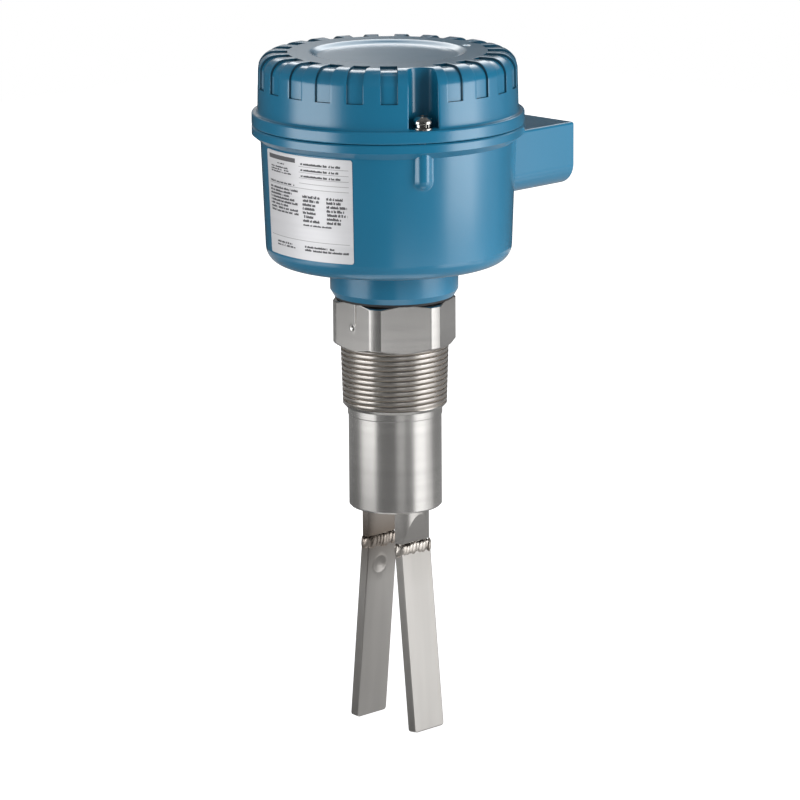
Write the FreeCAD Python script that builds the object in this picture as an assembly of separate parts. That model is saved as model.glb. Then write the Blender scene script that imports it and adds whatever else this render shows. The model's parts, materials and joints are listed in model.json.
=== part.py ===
"""Vibrating fork level switch for bulk solids, in millimetres.

The origin is the centre of the hexagon's underside, where the taper thread begins.
+Z runs up the probe axis, +X points to the cable entries, and the tines stand apart along Y.
The pot and its lid sit a little to the -X side of the probe axis.
"""
import FreeCAD
import Part

import math
import os

V = FreeCAD.Vector
UP = V(0, 0, 1)
ALONG_X = V(1, 0, 0)
CENTRE = V(0, 0, 0)

# General clearances
THREAD_PLAY = 0.05          # radial room in a screwed joint, drawn smooth
FIT_PLAY = 0.1              # radial room of a turned register
LID_PLAY = 0.3              # radial room between the lid's skirt and the pot
LID_GAP = 0.3               # joint line between the lid and the pot

# Process connection: hexagon, taper thread and the spigot that carries the housing
HEX_FLATS = 50.0
HEX_CORNERS = 55.0
HEX_HEIGHT = 21.2
HEX_TURN = 57.0             # direction of one flat's normal, in degrees
HEX_MARK_FLAT = 177.0
HEX_MARK_HEIGHT = 10.0
HEX_MARK_SIZE = 2.2
HEX_CHAMFER = 2.2
THREAD_TOP_DIAMETER = 48.2
THREAD_TAPER = 1.0 / 16.0
THREAD_LENGTH = 27.0
THREAD_END_CHAMFER = 1.5
RING_PROUD = 0.35           # the ring stands this far out from the tube
RING_HEIGHT = 3.5
SPIGOT_RADIUS = 20.0
SPIGOT_ABOVE_NUT = 2.5
SPIGOT_CHAMFER = 0.8
CONNECTION_BORE = 12.0

# Sensor tube, diaphragm and fork
TUBE_RADIUS = 20.8
TUBE_WALL = 2.2
TUBE_LENGTH = 42.0          # from the ring to the diaphragm's lower face
TUBE_REGISTER = 6.0
DIAPHRAGM_RIM = 8.0
DIAPHRAGM_SKIN = 1.6
DIAPHRAGM_LAND = 3.0
DIAPHRAGM_EDGE = 0.8
STUB_RADIUS = 15.05         # the fork's root is turned round before it is milled
STUB_GAP = 17.0
STUB_WIDTH = 18.4
STUB_END = 4.0
STUB_LENGTH = 15.3
STUB_FOOT = 2.5             # round root above the sloping outer flat
BLADE_THICKNESS = 4.5
BLADE_LENGTH = 80.5
BLADE_SPLAY = 5.5
BLADE_CORNER = 1.0
WELD_HEIGHT = 6.2
WELD_PROUD = 0.9
WELD_EDGE = 0.7
DENT_RADIUS = 3.7
DENT_DEPTH = 0.6
DENT_BELOW_WELD = 8.0
DENT_ASIDE = -1.0           # from the blade's middle, along X

# Piezo drive inside the tube
STUD_TIP_ROOM = 0.2
STUD_RADIUS = 3.0
STUD_LENGTH = 27.0
STUD_BOSS_WALL = 2.0
STUD_BOSS_HEIGHT = 2.0
PIEZO_RADIUS = 9.0
PIEZO_THICKNESS = 2.0
PIEZO_COUNT = 4
INSULATOR_THICKNESS = 1.5
PLATE_THICKNESS = 3.0
STACK_NUT_WALL = 2.0        # from the stud to the nut's flats
STACK_NUT_HEIGHT = 5.0
LEAD_RADIUS = 0.6
LEAD_PLAY = 0.2
LEAD_SPREAD = 4.0

# Neck and its seals
GASKET_THICKNESS = 1.1
GASKET_INSET = 0.5
NECK_WALL = 8.5             # from the spigot to the neck's outside
NECK_LENGTH = 15.7
NECK_CHAMFER = 2.7
NECK_CHAMFER_IN = 1.6
NECK_FILLET = 1.2
SPIGOT_SEAL_SECTION = 2.4
SPIGOT_SEAL_ABOVE = 7.7     # above the neck's lower end

# Pot
POT_OFFSET = -3.1           # pot axis from the probe axis, along X
POT_RADIUS = 56.2           # outside, just under the flange
POT_DRAFT = 2.0             # how much slimmer the wall is at the floor
POT_HEIGHT = 54.4           # straight wall, from the floor to the flange's chamfer
POT_WALL = 5.9              # at the top of the straight wall
POT_FLOOR = 4.5
POT_EDGE_ROUND = 7.5
POT_INNER_CHAMFER = 4.0
FLANGE_WIDTH = 3.8
FLANGE_CHAMFER = 3.1
FLANGE_HEIGHT = 3.7
FLANGE_EDGE = 0.6           # small chamfer on the flanges' rims
MOUTH_THREAD = 1.0          # the mouth is this much wider than the hollow below it
MOUTH_DEPTH = 9.0
MOUTH_CHAMFER = 1.0

# Lid
LID_FLANGE_WIDTH = 2.6
LID_FLANGE_HEIGHT = 5.5
LID_HEIGHT = 26.0           # above its flange
LID_DRAFT = 0.4
LID_SHOULDER_ROUND = 7.5
LID_ROOF = 4.8
LID_SKIRT_WALL = 4.4
LID_INNER_CHAMFER = 5.0
LID_SKIRT_LENGTH = 8.4
SEAL_SECTION = 2.4
SEAL_BELOW_FLANGE = 2.4
DISH_RADIUS = 34.8
DISH_SLOPE = 3.3
DISH_DEPTH = 1.8
DISH_ROUND = 1.6
PIP_RADIUS = 2.2
PIP_DEPTH = 0.7
PIP_OUTSIDE_DISH = 3.0
PIP_ANGLE = 337.6
RECESS_COUNT = 24
RECESS_WIDTH = 7.2
RECESS_DEPTH = 2.0
RECESS_REACH = 13.0         # how far each recess runs in over the shoulder
RECESS_ABOVE_FLANGE = 11.4

# Lock screw, its pocket in the lid and its boss on the pot
LOCK_ANGLE = 240.6
LOCK_INSET = 5.0            # screw axis inside the flange's rim
POCKET_WIDTH = 12.9
POCKET_BEHIND = 5.4         # pocket wall behind the screw axis
POCKET_CORNER = 5.4
LOCK_SCREW_RADIUS = 2.0
LOCK_HOLE_PLAY = 0.3
LOCK_SCREW_LENGTH = 22.0
LOCK_TIP_ROOM = 2.5
LOCK_HEAD_WALL = 2.15       # head radius beyond the shank
LOCK_HEAD_HEIGHT = 3.4
LOCK_HEAD_ROUND = 1.6
LOCK_CROSS_LENGTH = 4.6
LOCK_CROSS_WIDTH = 1.1
LOCK_CROSS_DEPTH = 1.8
SPRING_WASHER = 1.5
SPRING_WASHER_WALL = 1.5
SPRING_WASHER_SLIT = 0.9
SPRING_WASHER_TURN = 20.0
FLAT_WASHER = 1.0
FLAT_WASHER_WALL = 2.4
BOSS_WALL = 1.7
BOSS_LENGTH = 13.6          # below the flange's chamfer

# Block with the two cable entries
BLOCK_END = 80.8            # end face from the pot axis
BLOCK_BELOW_FLANGE = 1.6    # its top lies below the flange's underside
BLOCK_HEIGHT = 28.5
BLOCK_WIDTH = 74.0
BLOCK_LOWER_ROUND = 9.5
CAST_ROUND = 1.5            # fillet where the block and the boss leave the wall
JOINT_PROBE = 0.05          # how closely an edge must lie on the wall to be its joint
OVER = 1.0                  # cutting tools run this far past a face
ROOTED = 0.5                # posts start this far inside the floor
MERGED = 0.2                # overlap of two shapes that become one
BLOCK_EDGE_ROUND = 1.2
ENTRY_SPACING = 35.0
ENTRY_RADIUS = 9.2
ENTRY_CHAMFER = 0.8
PLUG_HEAD_WALL = 1.8        # from the plug's shank to its flats
PLUG_HEAD_HEIGHT = 5.0
PLUG_HEAD_CHAMFER = 0.8
PLUG_SHANK = 12.0
PLUG_SEAL_THICKNESS = 1.6
PLUG_SEAL_WALL = 2.1
PLUG_WALL = 2.7
PLUG_BORE_DEPTH = 9.0

# Name plate on the pot
PLATE_ANGLE = 182.7
PLATE_SPAN = 52.5
PLATE_ABOVE_FLOOR = 8.2
PLATE_BELOW_FLANGE = 0.5
PLATE_SHEET = 0.4
PLATE_CORNER = 1.5

# Lock nut on the spigot
NUT_WALL = 3.0              # from the spigot to the nut's flats
NUT_HEIGHT = 7.0
NUT_CHAMFER = 1.4
NUT_WASHER = 1.5
NUT_WASHER_WALL = 4.4
GROMMET_FLANGE = 1.5
GROMMET_DEPTH = 5.0
GROMMET_LIP = 1.5

# Electronics module
CARRIER_INSET = 10.3        # from the pot's hollow to the carrier
POST_HEIGHT = 14.5
CARRIER_HEIGHT = 15.0
CARRIER_FLOOR = 2.0
CARRIER_WALL = 2.0
CARRIER_LEAD_HOLE = 9.0
POST_INSET = 5.0            # post axis inside the carrier's rim
POST_RADIUS = 4.2
POST_ANGLES = (60.0, 180.0, 300.0)
COLUMN_RADIUS = 3.4
MODULE_SCREW_RADIUS = 1.5
MODULE_SCREW_DEPTH = 8.0
SCREW_HEAD_WALL = 1.4
SCREW_HEAD_HEIGHT = 2.0
SCREW_SLOT = 0.8
SCREW_SLOT_DEPTH = 0.9
BOARD_PLAY = 0.6
BOARD_ABOVE_CARRIER = 5.0
BOARD_THICKNESS = 1.6
STANDOFF_RADIUS = 2.4
STANDOFF_ORBIT = 28.0
STANDOFF_ANGLES = (0.0, 120.0, 240.0)
COVER_THICKNESS = 2.2
WINDOW_PLAY = 0.3
TERMINAL_LENGTH = 52.0
TERMINAL_DEPTH = 16.0
TERMINAL_HEIGHT = 24.0
TERMINAL_X = 14.0
TERMINAL_STEP = 8.0
TERMINAL_SLOPE = 5.0
TERMINAL_WAYS = 9
TERMINAL_PITCH = 5.5
TERMINAL_SCREW_RADIUS = 1.9
TERMINAL_SCREW_OFFSET = -3.0
TERMINAL_SCREW_HEIGHT = 2.0
TERMINAL_WELL = 3.0
TERMINAL_SLOT = 0.6
WIRE_HOLE = 3.2
WIRE_HOLE_DEPTH = 5.0
TRANSFORMER = (18.0, 20.0, 8.0)
TRANSFORMER_PLACE = (-21.0, 15.0)
RELAY = (18.0, 13.0, 7.6)
RELAY_PLACE = (-22.0, -14.0)
LAMP_RADIUS = 1.5
LAMP_FOOT = 0.4
LAMP_PLACE = (-6.0, 12.0)
LAMP_PROUD = 1.6
SWITCH_LENGTH = 9.0
SWITCH_WIDTH = 4.4
SWITCH_TRAVEL = 2.0
KNOB_LENGTH = 3.0
KNOB_WIDTH = 2.4
KNOB_ABOVE_COVER = 1.8
KNOB_FOOT_LENGTH = 5.0
KNOB_FOOT_HEIGHT = 1.0
KNOB_PLAY = 0.2
SWITCH_PLACES = {"sensitivity_switch": (-7.0, -12.0), "failsafe_switch": (-7.0, 0.0)}
SWITCH_BODY_HEIGHT = 7.6

# Protective earth screw on its pillar inside the pot
EARTH_ANGLE = 0.0
EARTH_INSET = 4.7           # pillar axis inside the pot's hollow
EARTH_PILLAR_RADIUS = 4.2
EARTH_PILLAR_HEIGHT = 23.5
EARTH_SCREW_RADIUS = 2.0
EARTH_SCREW_DEPTH = 8.0
EARTH_HEAD_WALL = 1.6
EARTH_HEAD_HEIGHT = 2.6
EARTH_CLAMP = 1.2
EARTH_CLAMP_WALL = 1.9
EARTH_SLOT_TURN = 30.0

# Levels and places that follow from the sizes above
THREAD_BOTTOM_Z = -THREAD_LENGTH
RING_TOP_Z = THREAD_BOTTOM_Z - THREAD_END_CHAMFER
RING_BOTTOM_Z = RING_TOP_Z - RING_HEIGHT
TUBE_BOTTOM_Z = RING_BOTTOM_Z - TUBE_LENGTH
TUBE_BORE = TUBE_RADIUS - TUBE_WALL
STUB_BOTTOM_Z = TUBE_BOTTOM_Z - STUB_LENGTH
SKIN_TOP_Z = TUBE_BOTTOM_Z + DIAPHRAGM_SKIN
STACK_BOTTOM_Z = SKIN_TOP_Z + STUD_BOSS_HEIGHT

NECK_RADIUS = SPIGOT_RADIUS + NECK_WALL
NECK_BOTTOM_Z = HEX_HEIGHT + GASKET_THICKNESS
GASKET_RADIUS = NECK_RADIUS - NECK_CHAMFER_IN - GASKET_INSET
SPIGOT_SEAL_Z = NECK_BOTTOM_Z + SPIGOT_SEAL_ABOVE

POT_AXIS = V(POT_OFFSET, 0, 0)
POT_FLOOR_Z = NECK_BOTTOM_Z + NECK_LENGTH
POT_INSIDE_Z = POT_FLOOR_Z + POT_FLOOR
POT_BOTTOM_RADIUS = POT_RADIUS - POT_DRAFT
POT_INNER_RADIUS = POT_RADIUS - POT_WALL
WALL_TOP_Z = POT_FLOOR_Z + POT_HEIGHT
FLANGE_RADIUS = POT_RADIUS + FLANGE_WIDTH
FLANGE_BOTTOM_Z = WALL_TOP_Z + FLANGE_CHAMFER
FLANGE_TOP_Z = FLANGE_BOTTOM_Z + FLANGE_HEIGHT
MOUTH_RADIUS = POT_INNER_RADIUS + MOUTH_THREAD
MOUTH_BOTTOM_Z = FLANGE_TOP_Z - MOUTH_DEPTH

LID_BOTTOM_Z = FLANGE_TOP_Z + LID_GAP
LID_FLANGE_TOP_Z = LID_BOTTOM_Z + LID_FLANGE_HEIGHT
LID_TOP_Z = LID_FLANGE_TOP_Z + LID_HEIGHT
LID_CEILING_Z = LID_TOP_Z - LID_ROOF
LID_BASE_RADIUS = FLANGE_RADIUS - LID_FLANGE_WIDTH
LID_SHOULDER_RADIUS = LID_BASE_RADIUS - LID_DRAFT
SKIRT_RADIUS = MOUTH_RADIUS - LID_PLAY
SKIRT_BOTTOM_Z = LID_BOTTOM_Z - LID_SKIRT_LENGTH
LID_INNER_RADIUS = SKIRT_RADIUS - LID_SKIRT_WALL
SEAL_OUTER_RADIUS = MOUTH_RADIUS - FIT_PLAY
SEAL_Z = LID_BOTTOM_Z - SEAL_BELOW_FLANGE
RECESS_INNER_RADIUS = LID_SHOULDER_RADIUS - RECESS_REACH
RECESS_BOTTOM_Z = LID_FLANGE_TOP_Z + RECESS_ABOVE_FLANGE

LOCK_ORBIT = FLANGE_RADIUS - LOCK_INSET
LOCK_SEAT_Z = LID_FLANGE_TOP_Z + FLAT_WASHER + SPRING_WASHER
LOCK_TIP_Z = LOCK_SEAT_Z - LOCK_SCREW_LENGTH
POCKET_WALL_RADIUS = LOCK_ORBIT - POCKET_BEHIND
BOSS_RADIUS = LOCK_SCREW_RADIUS + THREAD_PLAY + BOSS_WALL
BOSS_BOTTOM_Z = WALL_TOP_Z - BOSS_LENGTH

BLOCK_END_X = POT_OFFSET + BLOCK_END
BLOCK_TOP_Z = FLANGE_BOTTOM_Z - BLOCK_BELOW_FLANGE
BLOCK_BOTTOM_Z = BLOCK_TOP_Z - BLOCK_HEIGHT
ENTRY_Z = BLOCK_TOP_Z - BLOCK_HEIGHT / 2

PLATE_LOW_Z = POT_FLOOR_Z + PLATE_ABOVE_FLOOR
PLATE_HIGH_Z = WALL_TOP_Z - PLATE_BELOW_FLANGE

NUT_BOTTOM_Z = POT_INSIDE_Z + NUT_WASHER
NUT_TOP_Z = NUT_BOTTOM_Z + NUT_HEIGHT
SPIGOT_TOP_Z = NUT_TOP_Z + SPIGOT_ABOVE_NUT

CARRIER_RADIUS = POT_INNER_RADIUS - CARRIER_INSET
CARRIER_BOTTOM_Z = POT_INSIDE_Z + POST_HEIGHT
CARRIER_TOP_Z = CARRIER_BOTTOM_Z + CARRIER_HEIGHT
POST_ORBIT = CARRIER_RADIUS - POST_INSET
BOARD_RADIUS = CARRIER_RADIUS - CARRIER_WALL - BOARD_PLAY
BOARD_Z = CARRIER_BOTTOM_Z + BOARD_ABOVE_CARRIER
BOARD_TOP_Z = BOARD_Z + BOARD_THICKNESS
COVER_TOP_Z = CARRIER_TOP_Z + COVER_THICKNESS
TERMINAL_TOP_Z = BOARD_TOP_Z + TERMINAL_HEIGHT
EARTH_ORBIT = POT_INNER_RADIUS - EARTH_INSET
EARTH_PILLAR_Z = POT_INSIDE_Z + EARTH_PILLAR_HEIGHT


def polar(radius, degrees, z=0.0, axis=POT_AXIS):
    """A point at a radius and direction about an upright axis."""
    angle = math.radians(degrees)
    return V(axis.x + radius * math.cos(angle), axis.y + radius * math.sin(angle), z)


def outline(corners, place):
    """A closed wire through (u, v) or (u, v, radius) corners, rounded where a radius is given."""
    count = len(corners)
    starts, ends, middles = [], [], []
    for index, corner in enumerate(corners):
        here = V(corner[0], corner[1], 0)
        radius = corner[2] if len(corner) > 2 else 0.0
        before = corners[index - 1]
        after = corners[(index + 1) % count]
        back = (V(before[0], before[1], 0) - here).normalize()
        ahead = (V(after[0], after[1], 0) - here).normalize()
        if radius <= 0:
            starts.append(here)
            ends.append(here)
            middles.append(None)
            continue
        half = back.getAngle(ahead) / 2
        reach = radius / math.tan(half)
        toward = (back + ahead).normalize()
        starts.append(here + back * reach)
        ends.append(here + ahead * reach)
        middles.append(here + toward * (radius / math.sin(half) - radius))
    edges = []
    for index in range(count):
        if middles[index] is not None:
            points = [place(point) for point in (starts[index], middles[index], ends[index])]
            edges.append(Part.Arc(*points).toShape())
        following = starts[(index + 1) % count]
        if (following - ends[index]).Length > 1e-6:
            edges.append(Part.LineSegment(place(ends[index]), place(following)).toShape())
    return Part.Wire(edges)


def turned(corners, axis=CENTRE, start=0.0, sweep=360.0):
    """Revolve an (r, z) outline about an upright axis."""
    face = Part.Face(outline(corners, lambda p: V(p.x, 0, p.y)))
    solid = face.revolve(CENTRE, UP, sweep)
    solid.rotate(CENTRE, UP, start)
    solid.translate(V(axis.x, axis.y, 0))
    return solid


def ring(inner, outer, bottom, top, axis=CENTRE):
    """A plain upright ring."""
    return turned([(inner, bottom), (outer, bottom), (outer, top), (inner, top)], axis)


def rod(radius, bottom, top, place=CENTRE):
    """A plain upright cylinder."""
    return Part.makeCylinder(radius, top - bottom, V(place.x, place.y, bottom), UP)


def box(x_size, y_size, z_size, x, y, bottom):
    """A box centred on (x, y) that stands on a level."""
    return Part.makeBox(x_size, y_size, z_size, V(x - x_size / 2, y - y_size / 2, bottom))


def hexagon(flats, bottom, top, turn=0.0, place=CENTRE):
    """An upright hexagonal prism, with one flat's normal at the turn angle."""
    reach = flats / 2 / math.cos(math.radians(30))
    points = []
    for step in range(6):
        points.append(polar(reach, turn + 30 + 60 * step, bottom, place))
    points.append(points[0])
    return Part.Face(Part.makePolygon(points)).extrude(V(0, 0, top - bottom))


def seal_ring(inner, section, z, axis=CENTRE):
    """A square-section seal ring about an upright axis, centred on a level."""
    return ring(inner, inner + section, z - section / 2, z + section / 2, axis)


def slotted_screw(place, seat, head_wall, head_height, shank_radius, depth, turn=0.0):
    """A slotted cheese-head screw standing on a level."""
    head_radius = shank_radius + head_wall
    head = rod(head_radius, seat, seat + head_height, place)
    slot = box(head_radius * 3, SCREW_SLOT, head_height, 0, 0, seat + head_height - SCREW_SLOT_DEPTH)
    slot.rotate(CENTRE, UP, turn)
    slot.translate(V(place.x, place.y, 0))
    return head.cut(slot).fuse(rod(shank_radius, seat - depth, seat, place)).removeSplitter()


def joined(first, others):
    """Fuse a list of solids into one."""
    return first.multiFuse(others).removeSplitter()


def process_connection():
    """Hexagon, taper thread and spigot, turned from one bar."""
    hex_prism = hexagon(HEX_FLATS, 0, HEX_HEIGHT, HEX_TURN)
    corner = HEX_CORNERS / 2
    slope = HEX_CHAMFER * math.tan(math.radians(30))
    turned_limit = turned([(0, 0), (corner - HEX_CHAMFER, 0), (corner, slope),
                           (corner, HEX_HEIGHT - slope), (corner - HEX_CHAMFER, HEX_HEIGHT),
                           (0, HEX_HEIGHT)])
    head = hex_prism.common(turned_limit)
    thread_top = THREAD_TOP_DIAMETER / 2
    thread_bottom = thread_top - THREAD_LENGTH * THREAD_TAPER / 2
    lower = turned([(0, 0), (thread_top, 0), (thread_bottom, THREAD_BOTTOM_Z),
                    (thread_bottom - THREAD_END_CHAMFER, RING_TOP_Z),
                    (TUBE_RADIUS + RING_PROUD, RING_TOP_Z), (TUBE_RADIUS + RING_PROUD, RING_BOTTOM_Z),
                    (TUBE_BORE - FIT_PLAY, RING_BOTTOM_Z),
                    (TUBE_BORE - FIT_PLAY, RING_BOTTOM_Z - TUBE_REGISTER),
                    (0, RING_BOTTOM_Z - TUBE_REGISTER)])
    spigot = turned([(0, HEX_HEIGHT), (SPIGOT_RADIUS, HEX_HEIGHT),
                     (SPIGOT_RADIUS, SPIGOT_TOP_Z - SPIGOT_CHAMFER),
                     (SPIGOT_RADIUS - SPIGOT_CHAMFER, SPIGOT_TOP_Z), (0, SPIGOT_TOP_Z)])
    half_seal = SPIGOT_SEAL_SECTION / 2 + FIT_PLAY
    seal_groove = ring(SPIGOT_RADIUS - SPIGOT_SEAL_SECTION, SPIGOT_RADIUS + OVER,
                       SPIGOT_SEAL_Z - half_seal, SPIGOT_SEAL_Z + half_seal)
    bore = rod(CONNECTION_BORE, RING_BOTTOM_Z - TUBE_REGISTER - OVER, SPIGOT_TOP_Z + OVER)
    mark_place = polar(HEX_FLATS / 2, HEX_MARK_FLAT, HEX_MARK_HEIGHT, CENTRE)
    mark = Part.makeSphere(HEX_MARK_SIZE / 2, mark_place)
    return joined(head, [lower, spigot]).cut(seal_groove).cut(bore).cut(mark)


def sensor_tube():
    """Plain tube between the ring and the diaphragm."""
    return ring(TUBE_BORE, TUBE_RADIUS, TUBE_BOTTOM_Z + DIAPHRAGM_RIM, RING_BOTTOM_Z)


def stub(side):
    """One fork root on the side given by the sign of y: round outside, with a sloping flat below."""
    inner = STUB_GAP / 2
    root_z = TUBE_BOTTOM_Z + DIAPHRAGM_SKIN / 2
    corners = [(side * inner, root_z), (side * STUB_RADIUS, root_z),
               (side * STUB_RADIUS, TUBE_BOTTOM_Z - STUB_FOOT),
               (side * (inner + STUB_END), STUB_BOTTOM_Z), (side * inner, STUB_BOTTOM_Z)]
    face = Part.Face(outline(corners, lambda p: V(-STUB_WIDTH / 2, p.x, p.y)))
    wedge = face.extrude(V(STUB_WIDTH, 0, 0))
    return wedge.common(rod(STUB_RADIUS, STUB_BOTTOM_Z, root_z))


def fork_diaphragm():
    """Thin skin with its rim and both fork roots, machined from one piece."""
    rim_top = TUBE_BOTTOM_Z + DIAPHRAGM_RIM
    register = TUBE_BORE - FIT_PLAY
    land = TUBE_RADIUS - TUBE_WALL - DIAPHRAGM_LAND
    cup = turned([(0, TUBE_BOTTOM_Z), (TUBE_RADIUS - DIAPHRAGM_EDGE, TUBE_BOTTOM_Z),
                  (TUBE_RADIUS, TUBE_BOTTOM_Z + DIAPHRAGM_EDGE), (TUBE_RADIUS, rim_top), (register, rim_top),
                  (register, rim_top + TUBE_REGISTER), (land, rim_top + TUBE_REGISTER),
                  (land, SKIN_TOP_Z), (STUD_RADIUS + STUD_BOSS_WALL, SKIN_TOP_Z),
                  (STUD_RADIUS + STUD_BOSS_WALL, STACK_BOTTOM_Z), (0, STACK_BOTTOM_Z)])
    stud_hole = rod(STUD_RADIUS + THREAD_PLAY, SKIN_TOP_Z, STACK_BOTTOM_Z + OVER)
    return joined(cup, [stub(-1), stub(1)]).cut(stud_hole)


def tine(side):
    """One blade with the weld bead that joins it to its stub."""
    middle = side * (STUB_GAP / 2 + STUB_END / 2)
    weld_top = STUB_BOTTOM_Z
    weld_bottom = weld_top - WELD_HEIGHT
    bead = box(STUB_WIDTH + 2 * WELD_PROUD, STUB_END + 2 * WELD_PROUD, WELD_HEIGHT,
               0, middle, weld_bottom)
    bead = bead.makeChamfer(WELD_EDGE, bead.Edges)
    top = weld_top - WELD_HEIGHT / 2
    length = BLADE_LENGTH + WELD_HEIGHT / 2
    blade = box(STUB_WIDTH, BLADE_THICKNESS, length, 0, 0, -length)
    tip_edges = [edge for edge in blade.Edges
                 if abs(edge.tangentAt(0).y) > 0.9 and edge.CenterOfMass.z < -length / 2]
    blade = blade.makeFillet(BLADE_CORNER, tip_edges)
    if side > 0:
        depth = BLADE_THICKNESS / 2
        ball = (DENT_RADIUS ** 2 + DENT_DEPTH ** 2) / (2 * DENT_DEPTH)
        centre = V(DENT_ASIDE, -side * (depth + ball - DENT_DEPTH), -WELD_HEIGHT / 2 - DENT_BELOW_WELD)
        blade = blade.cut(Part.makeSphere(ball, centre))
    blade.rotate(CENTRE, ALONG_X, side * BLADE_SPLAY)
    blade.translate(V(0, middle, top))
    return bead.fuse(blade).removeSplitter()


def piezo_stack():
    """Drive stack on its stud above the diaphragm, from the skin upwards."""
    nodes = {}
    level = STACK_BOTTOM_Z
    hole = STUD_RADIUS + FIT_PLAY
    insulators = [ring(hole, PIEZO_RADIUS, level, level + INSULATOR_THICKNESS)]
    level += INSULATOR_THICKNESS
    discs = []
    for _ in range(PIEZO_COUNT):
        discs.append(ring(hole, PIEZO_RADIUS, level, level + PIEZO_THICKNESS))
        level += PIEZO_THICKNESS
    insulators.append(ring(hole, PIEZO_RADIUS, level, level + INSULATOR_THICKNESS))
    level += INSULATOR_THICKNESS
    nodes["pressure_plate"] = ring(hole, PIEZO_RADIUS - LEAD_PLAY, level, level + PLATE_THICKNESS)
    level += PLATE_THICKNESS
    nut = hexagon(2 * (STUD_RADIUS + STACK_NUT_WALL), level, level + STACK_NUT_HEIGHT)
    nut_hole = rod(STUD_RADIUS + THREAD_PLAY, level - OVER, level + STACK_NUT_HEIGHT + OVER)
    nodes["stack_nut"] = nut.cut(nut_hole)
    nodes["insulating_discs"] = Part.makeCompound(insulators)
    nodes["piezo_discs"] = Part.makeCompound(discs)
    stud_low = SKIN_TOP_Z + STUD_TIP_ROOM
    nodes["stack_stud"] = rod(STUD_RADIUS, stud_low, stud_low + STUD_LENGTH)
    return nodes


def sensor_leads():
    """Two leads, straight up the bore from beside the stack to the circuit board."""
    bottom = STACK_BOTTOM_Z + INSULATOR_THICKNESS + PIEZO_COUNT * PIEZO_THICKNESS / 2
    turn_z = RING_BOTTOM_Z - TUBE_REGISTER - 2
    leads = []
    for side in (-1, 1):
        low = V(side * (PIEZO_RADIUS + LEAD_RADIUS), 0, bottom)
        knee = V(side * (PIEZO_RADIUS + LEAD_RADIUS), 0, turn_z)
        high = V(side * LEAD_SPREAD, 0, HEX_HEIGHT + 10)
        end = V(side * LEAD_SPREAD, 0, BOARD_Z)
        points = [low, knee, high, end]
        pieces = []
        for start, stop in zip(points, points[1:]):
            run = stop - start
            pieces.append(Part.makeCylinder(LEAD_RADIUS, run.Length, start, run))
        for point in points[1:-1]:
            pieces.append(Part.makeSphere(LEAD_RADIUS, point))
        leads.append(joined(pieces[0], pieces[1:]))
    return Part.makeCompound(leads)


def lead_grommet():
    """Rubber grommet that closes the top of the spigot round the leads."""
    low = SPIGOT_TOP_Z - GROMMET_DEPTH
    high = SPIGOT_TOP_Z + GROMMET_LIP
    inner = CONNECTION_BORE - THREAD_PLAY
    outer = CONNECTION_BORE + GROMMET_FLANGE
    plug = turned([(0, low), (inner, low), (inner, SPIGOT_TOP_Z), (outer, SPIGOT_TOP_Z), (outer, high),
                   (0, high)])
    for side in (-1, 1):
        plug = plug.cut(rod(LEAD_RADIUS + THREAD_PLAY, low - OVER, high + OVER, V(side * LEAD_SPREAD, 0, 0)))
    return plug


def pot_shell():
    """Turned form of the pot with its flange, mouth and hollow."""
    return turned([(0, POT_FLOOR_Z), (POT_BOTTOM_RADIUS, POT_FLOOR_Z, POT_EDGE_ROUND),
                   (POT_RADIUS, WALL_TOP_Z), (FLANGE_RADIUS, FLANGE_BOTTOM_Z),
                   (FLANGE_RADIUS, FLANGE_TOP_Z - FLANGE_EDGE),
                   (FLANGE_RADIUS - FLANGE_EDGE, FLANGE_TOP_Z), (0, FLANGE_TOP_Z)], POT_AXIS)


def pot_hollow():
    """Space inside the pot, up to and through its mouth."""
    return turned([(0, POT_INSIDE_Z), (POT_INNER_RADIUS - POT_INNER_CHAMFER, POT_INSIDE_Z),
                   (POT_INNER_RADIUS, POT_INSIDE_Z + POT_INNER_CHAMFER),
                   (POT_INNER_RADIUS, MOUTH_BOTTOM_Z), (MOUTH_RADIUS, MOUTH_BOTTOM_Z),
                   (MOUTH_RADIUS, FLANGE_TOP_Z - MOUTH_CHAMFER),
                   (MOUTH_RADIUS + MOUTH_CHAMFER, FLANGE_TOP_Z),
                   (MOUTH_RADIUS + MOUTH_CHAMFER, FLANGE_TOP_Z + OVER), (0, FLANGE_TOP_Z + OVER)], POT_AXIS)


def neck():
    """Neck under the pot, in line with the probe."""
    return turned([(0, NECK_BOTTOM_Z), (NECK_RADIUS - NECK_CHAMFER_IN, NECK_BOTTOM_Z),
                   (NECK_RADIUS, NECK_BOTTOM_Z + NECK_CHAMFER),
                   (NECK_RADIUS, POT_FLOOR_Z - NECK_FILLET),
                   (NECK_RADIUS + NECK_FILLET, POT_FLOOR_Z + MERGED), (0, POT_FLOOR_Z + MERGED)])


def entry_block():
    """Solid block on the +X side of the pot that holds the cable entries."""
    half = BLOCK_WIDTH / 2
    corners = [(-half, BLOCK_TOP_Z, BLOCK_EDGE_ROUND), (half, BLOCK_TOP_Z, BLOCK_EDGE_ROUND),
               (half, BLOCK_BOTTOM_Z, BLOCK_LOWER_ROUND), (-half, BLOCK_BOTTOM_Z, BLOCK_LOWER_ROUND)]
    face = Part.Face(outline(corners, lambda p: V(POT_OFFSET, p.x, p.y)))
    block = face.extrude(V(BLOCK_END, 0, 0))
    rim = [edge for edge in block.Edges if abs(edge.CenterOfMass.x - BLOCK_END_X) < 0.01]
    return block.makeFillet(BLOCK_EDGE_ROUND, rim)


def lock_boss():
    """Upright boss with a round lower end that takes the lock screw."""
    centre = polar(LOCK_ORBIT, LOCK_ANGLE)
    low = BOSS_BOTTOM_Z + BOSS_RADIUS
    return rod(BOSS_RADIUS, low, FLANGE_TOP_Z - LID_GAP, centre).fuse(
        Part.makeSphere(BOSS_RADIUS, V(centre.x, centre.y, low)))


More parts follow.
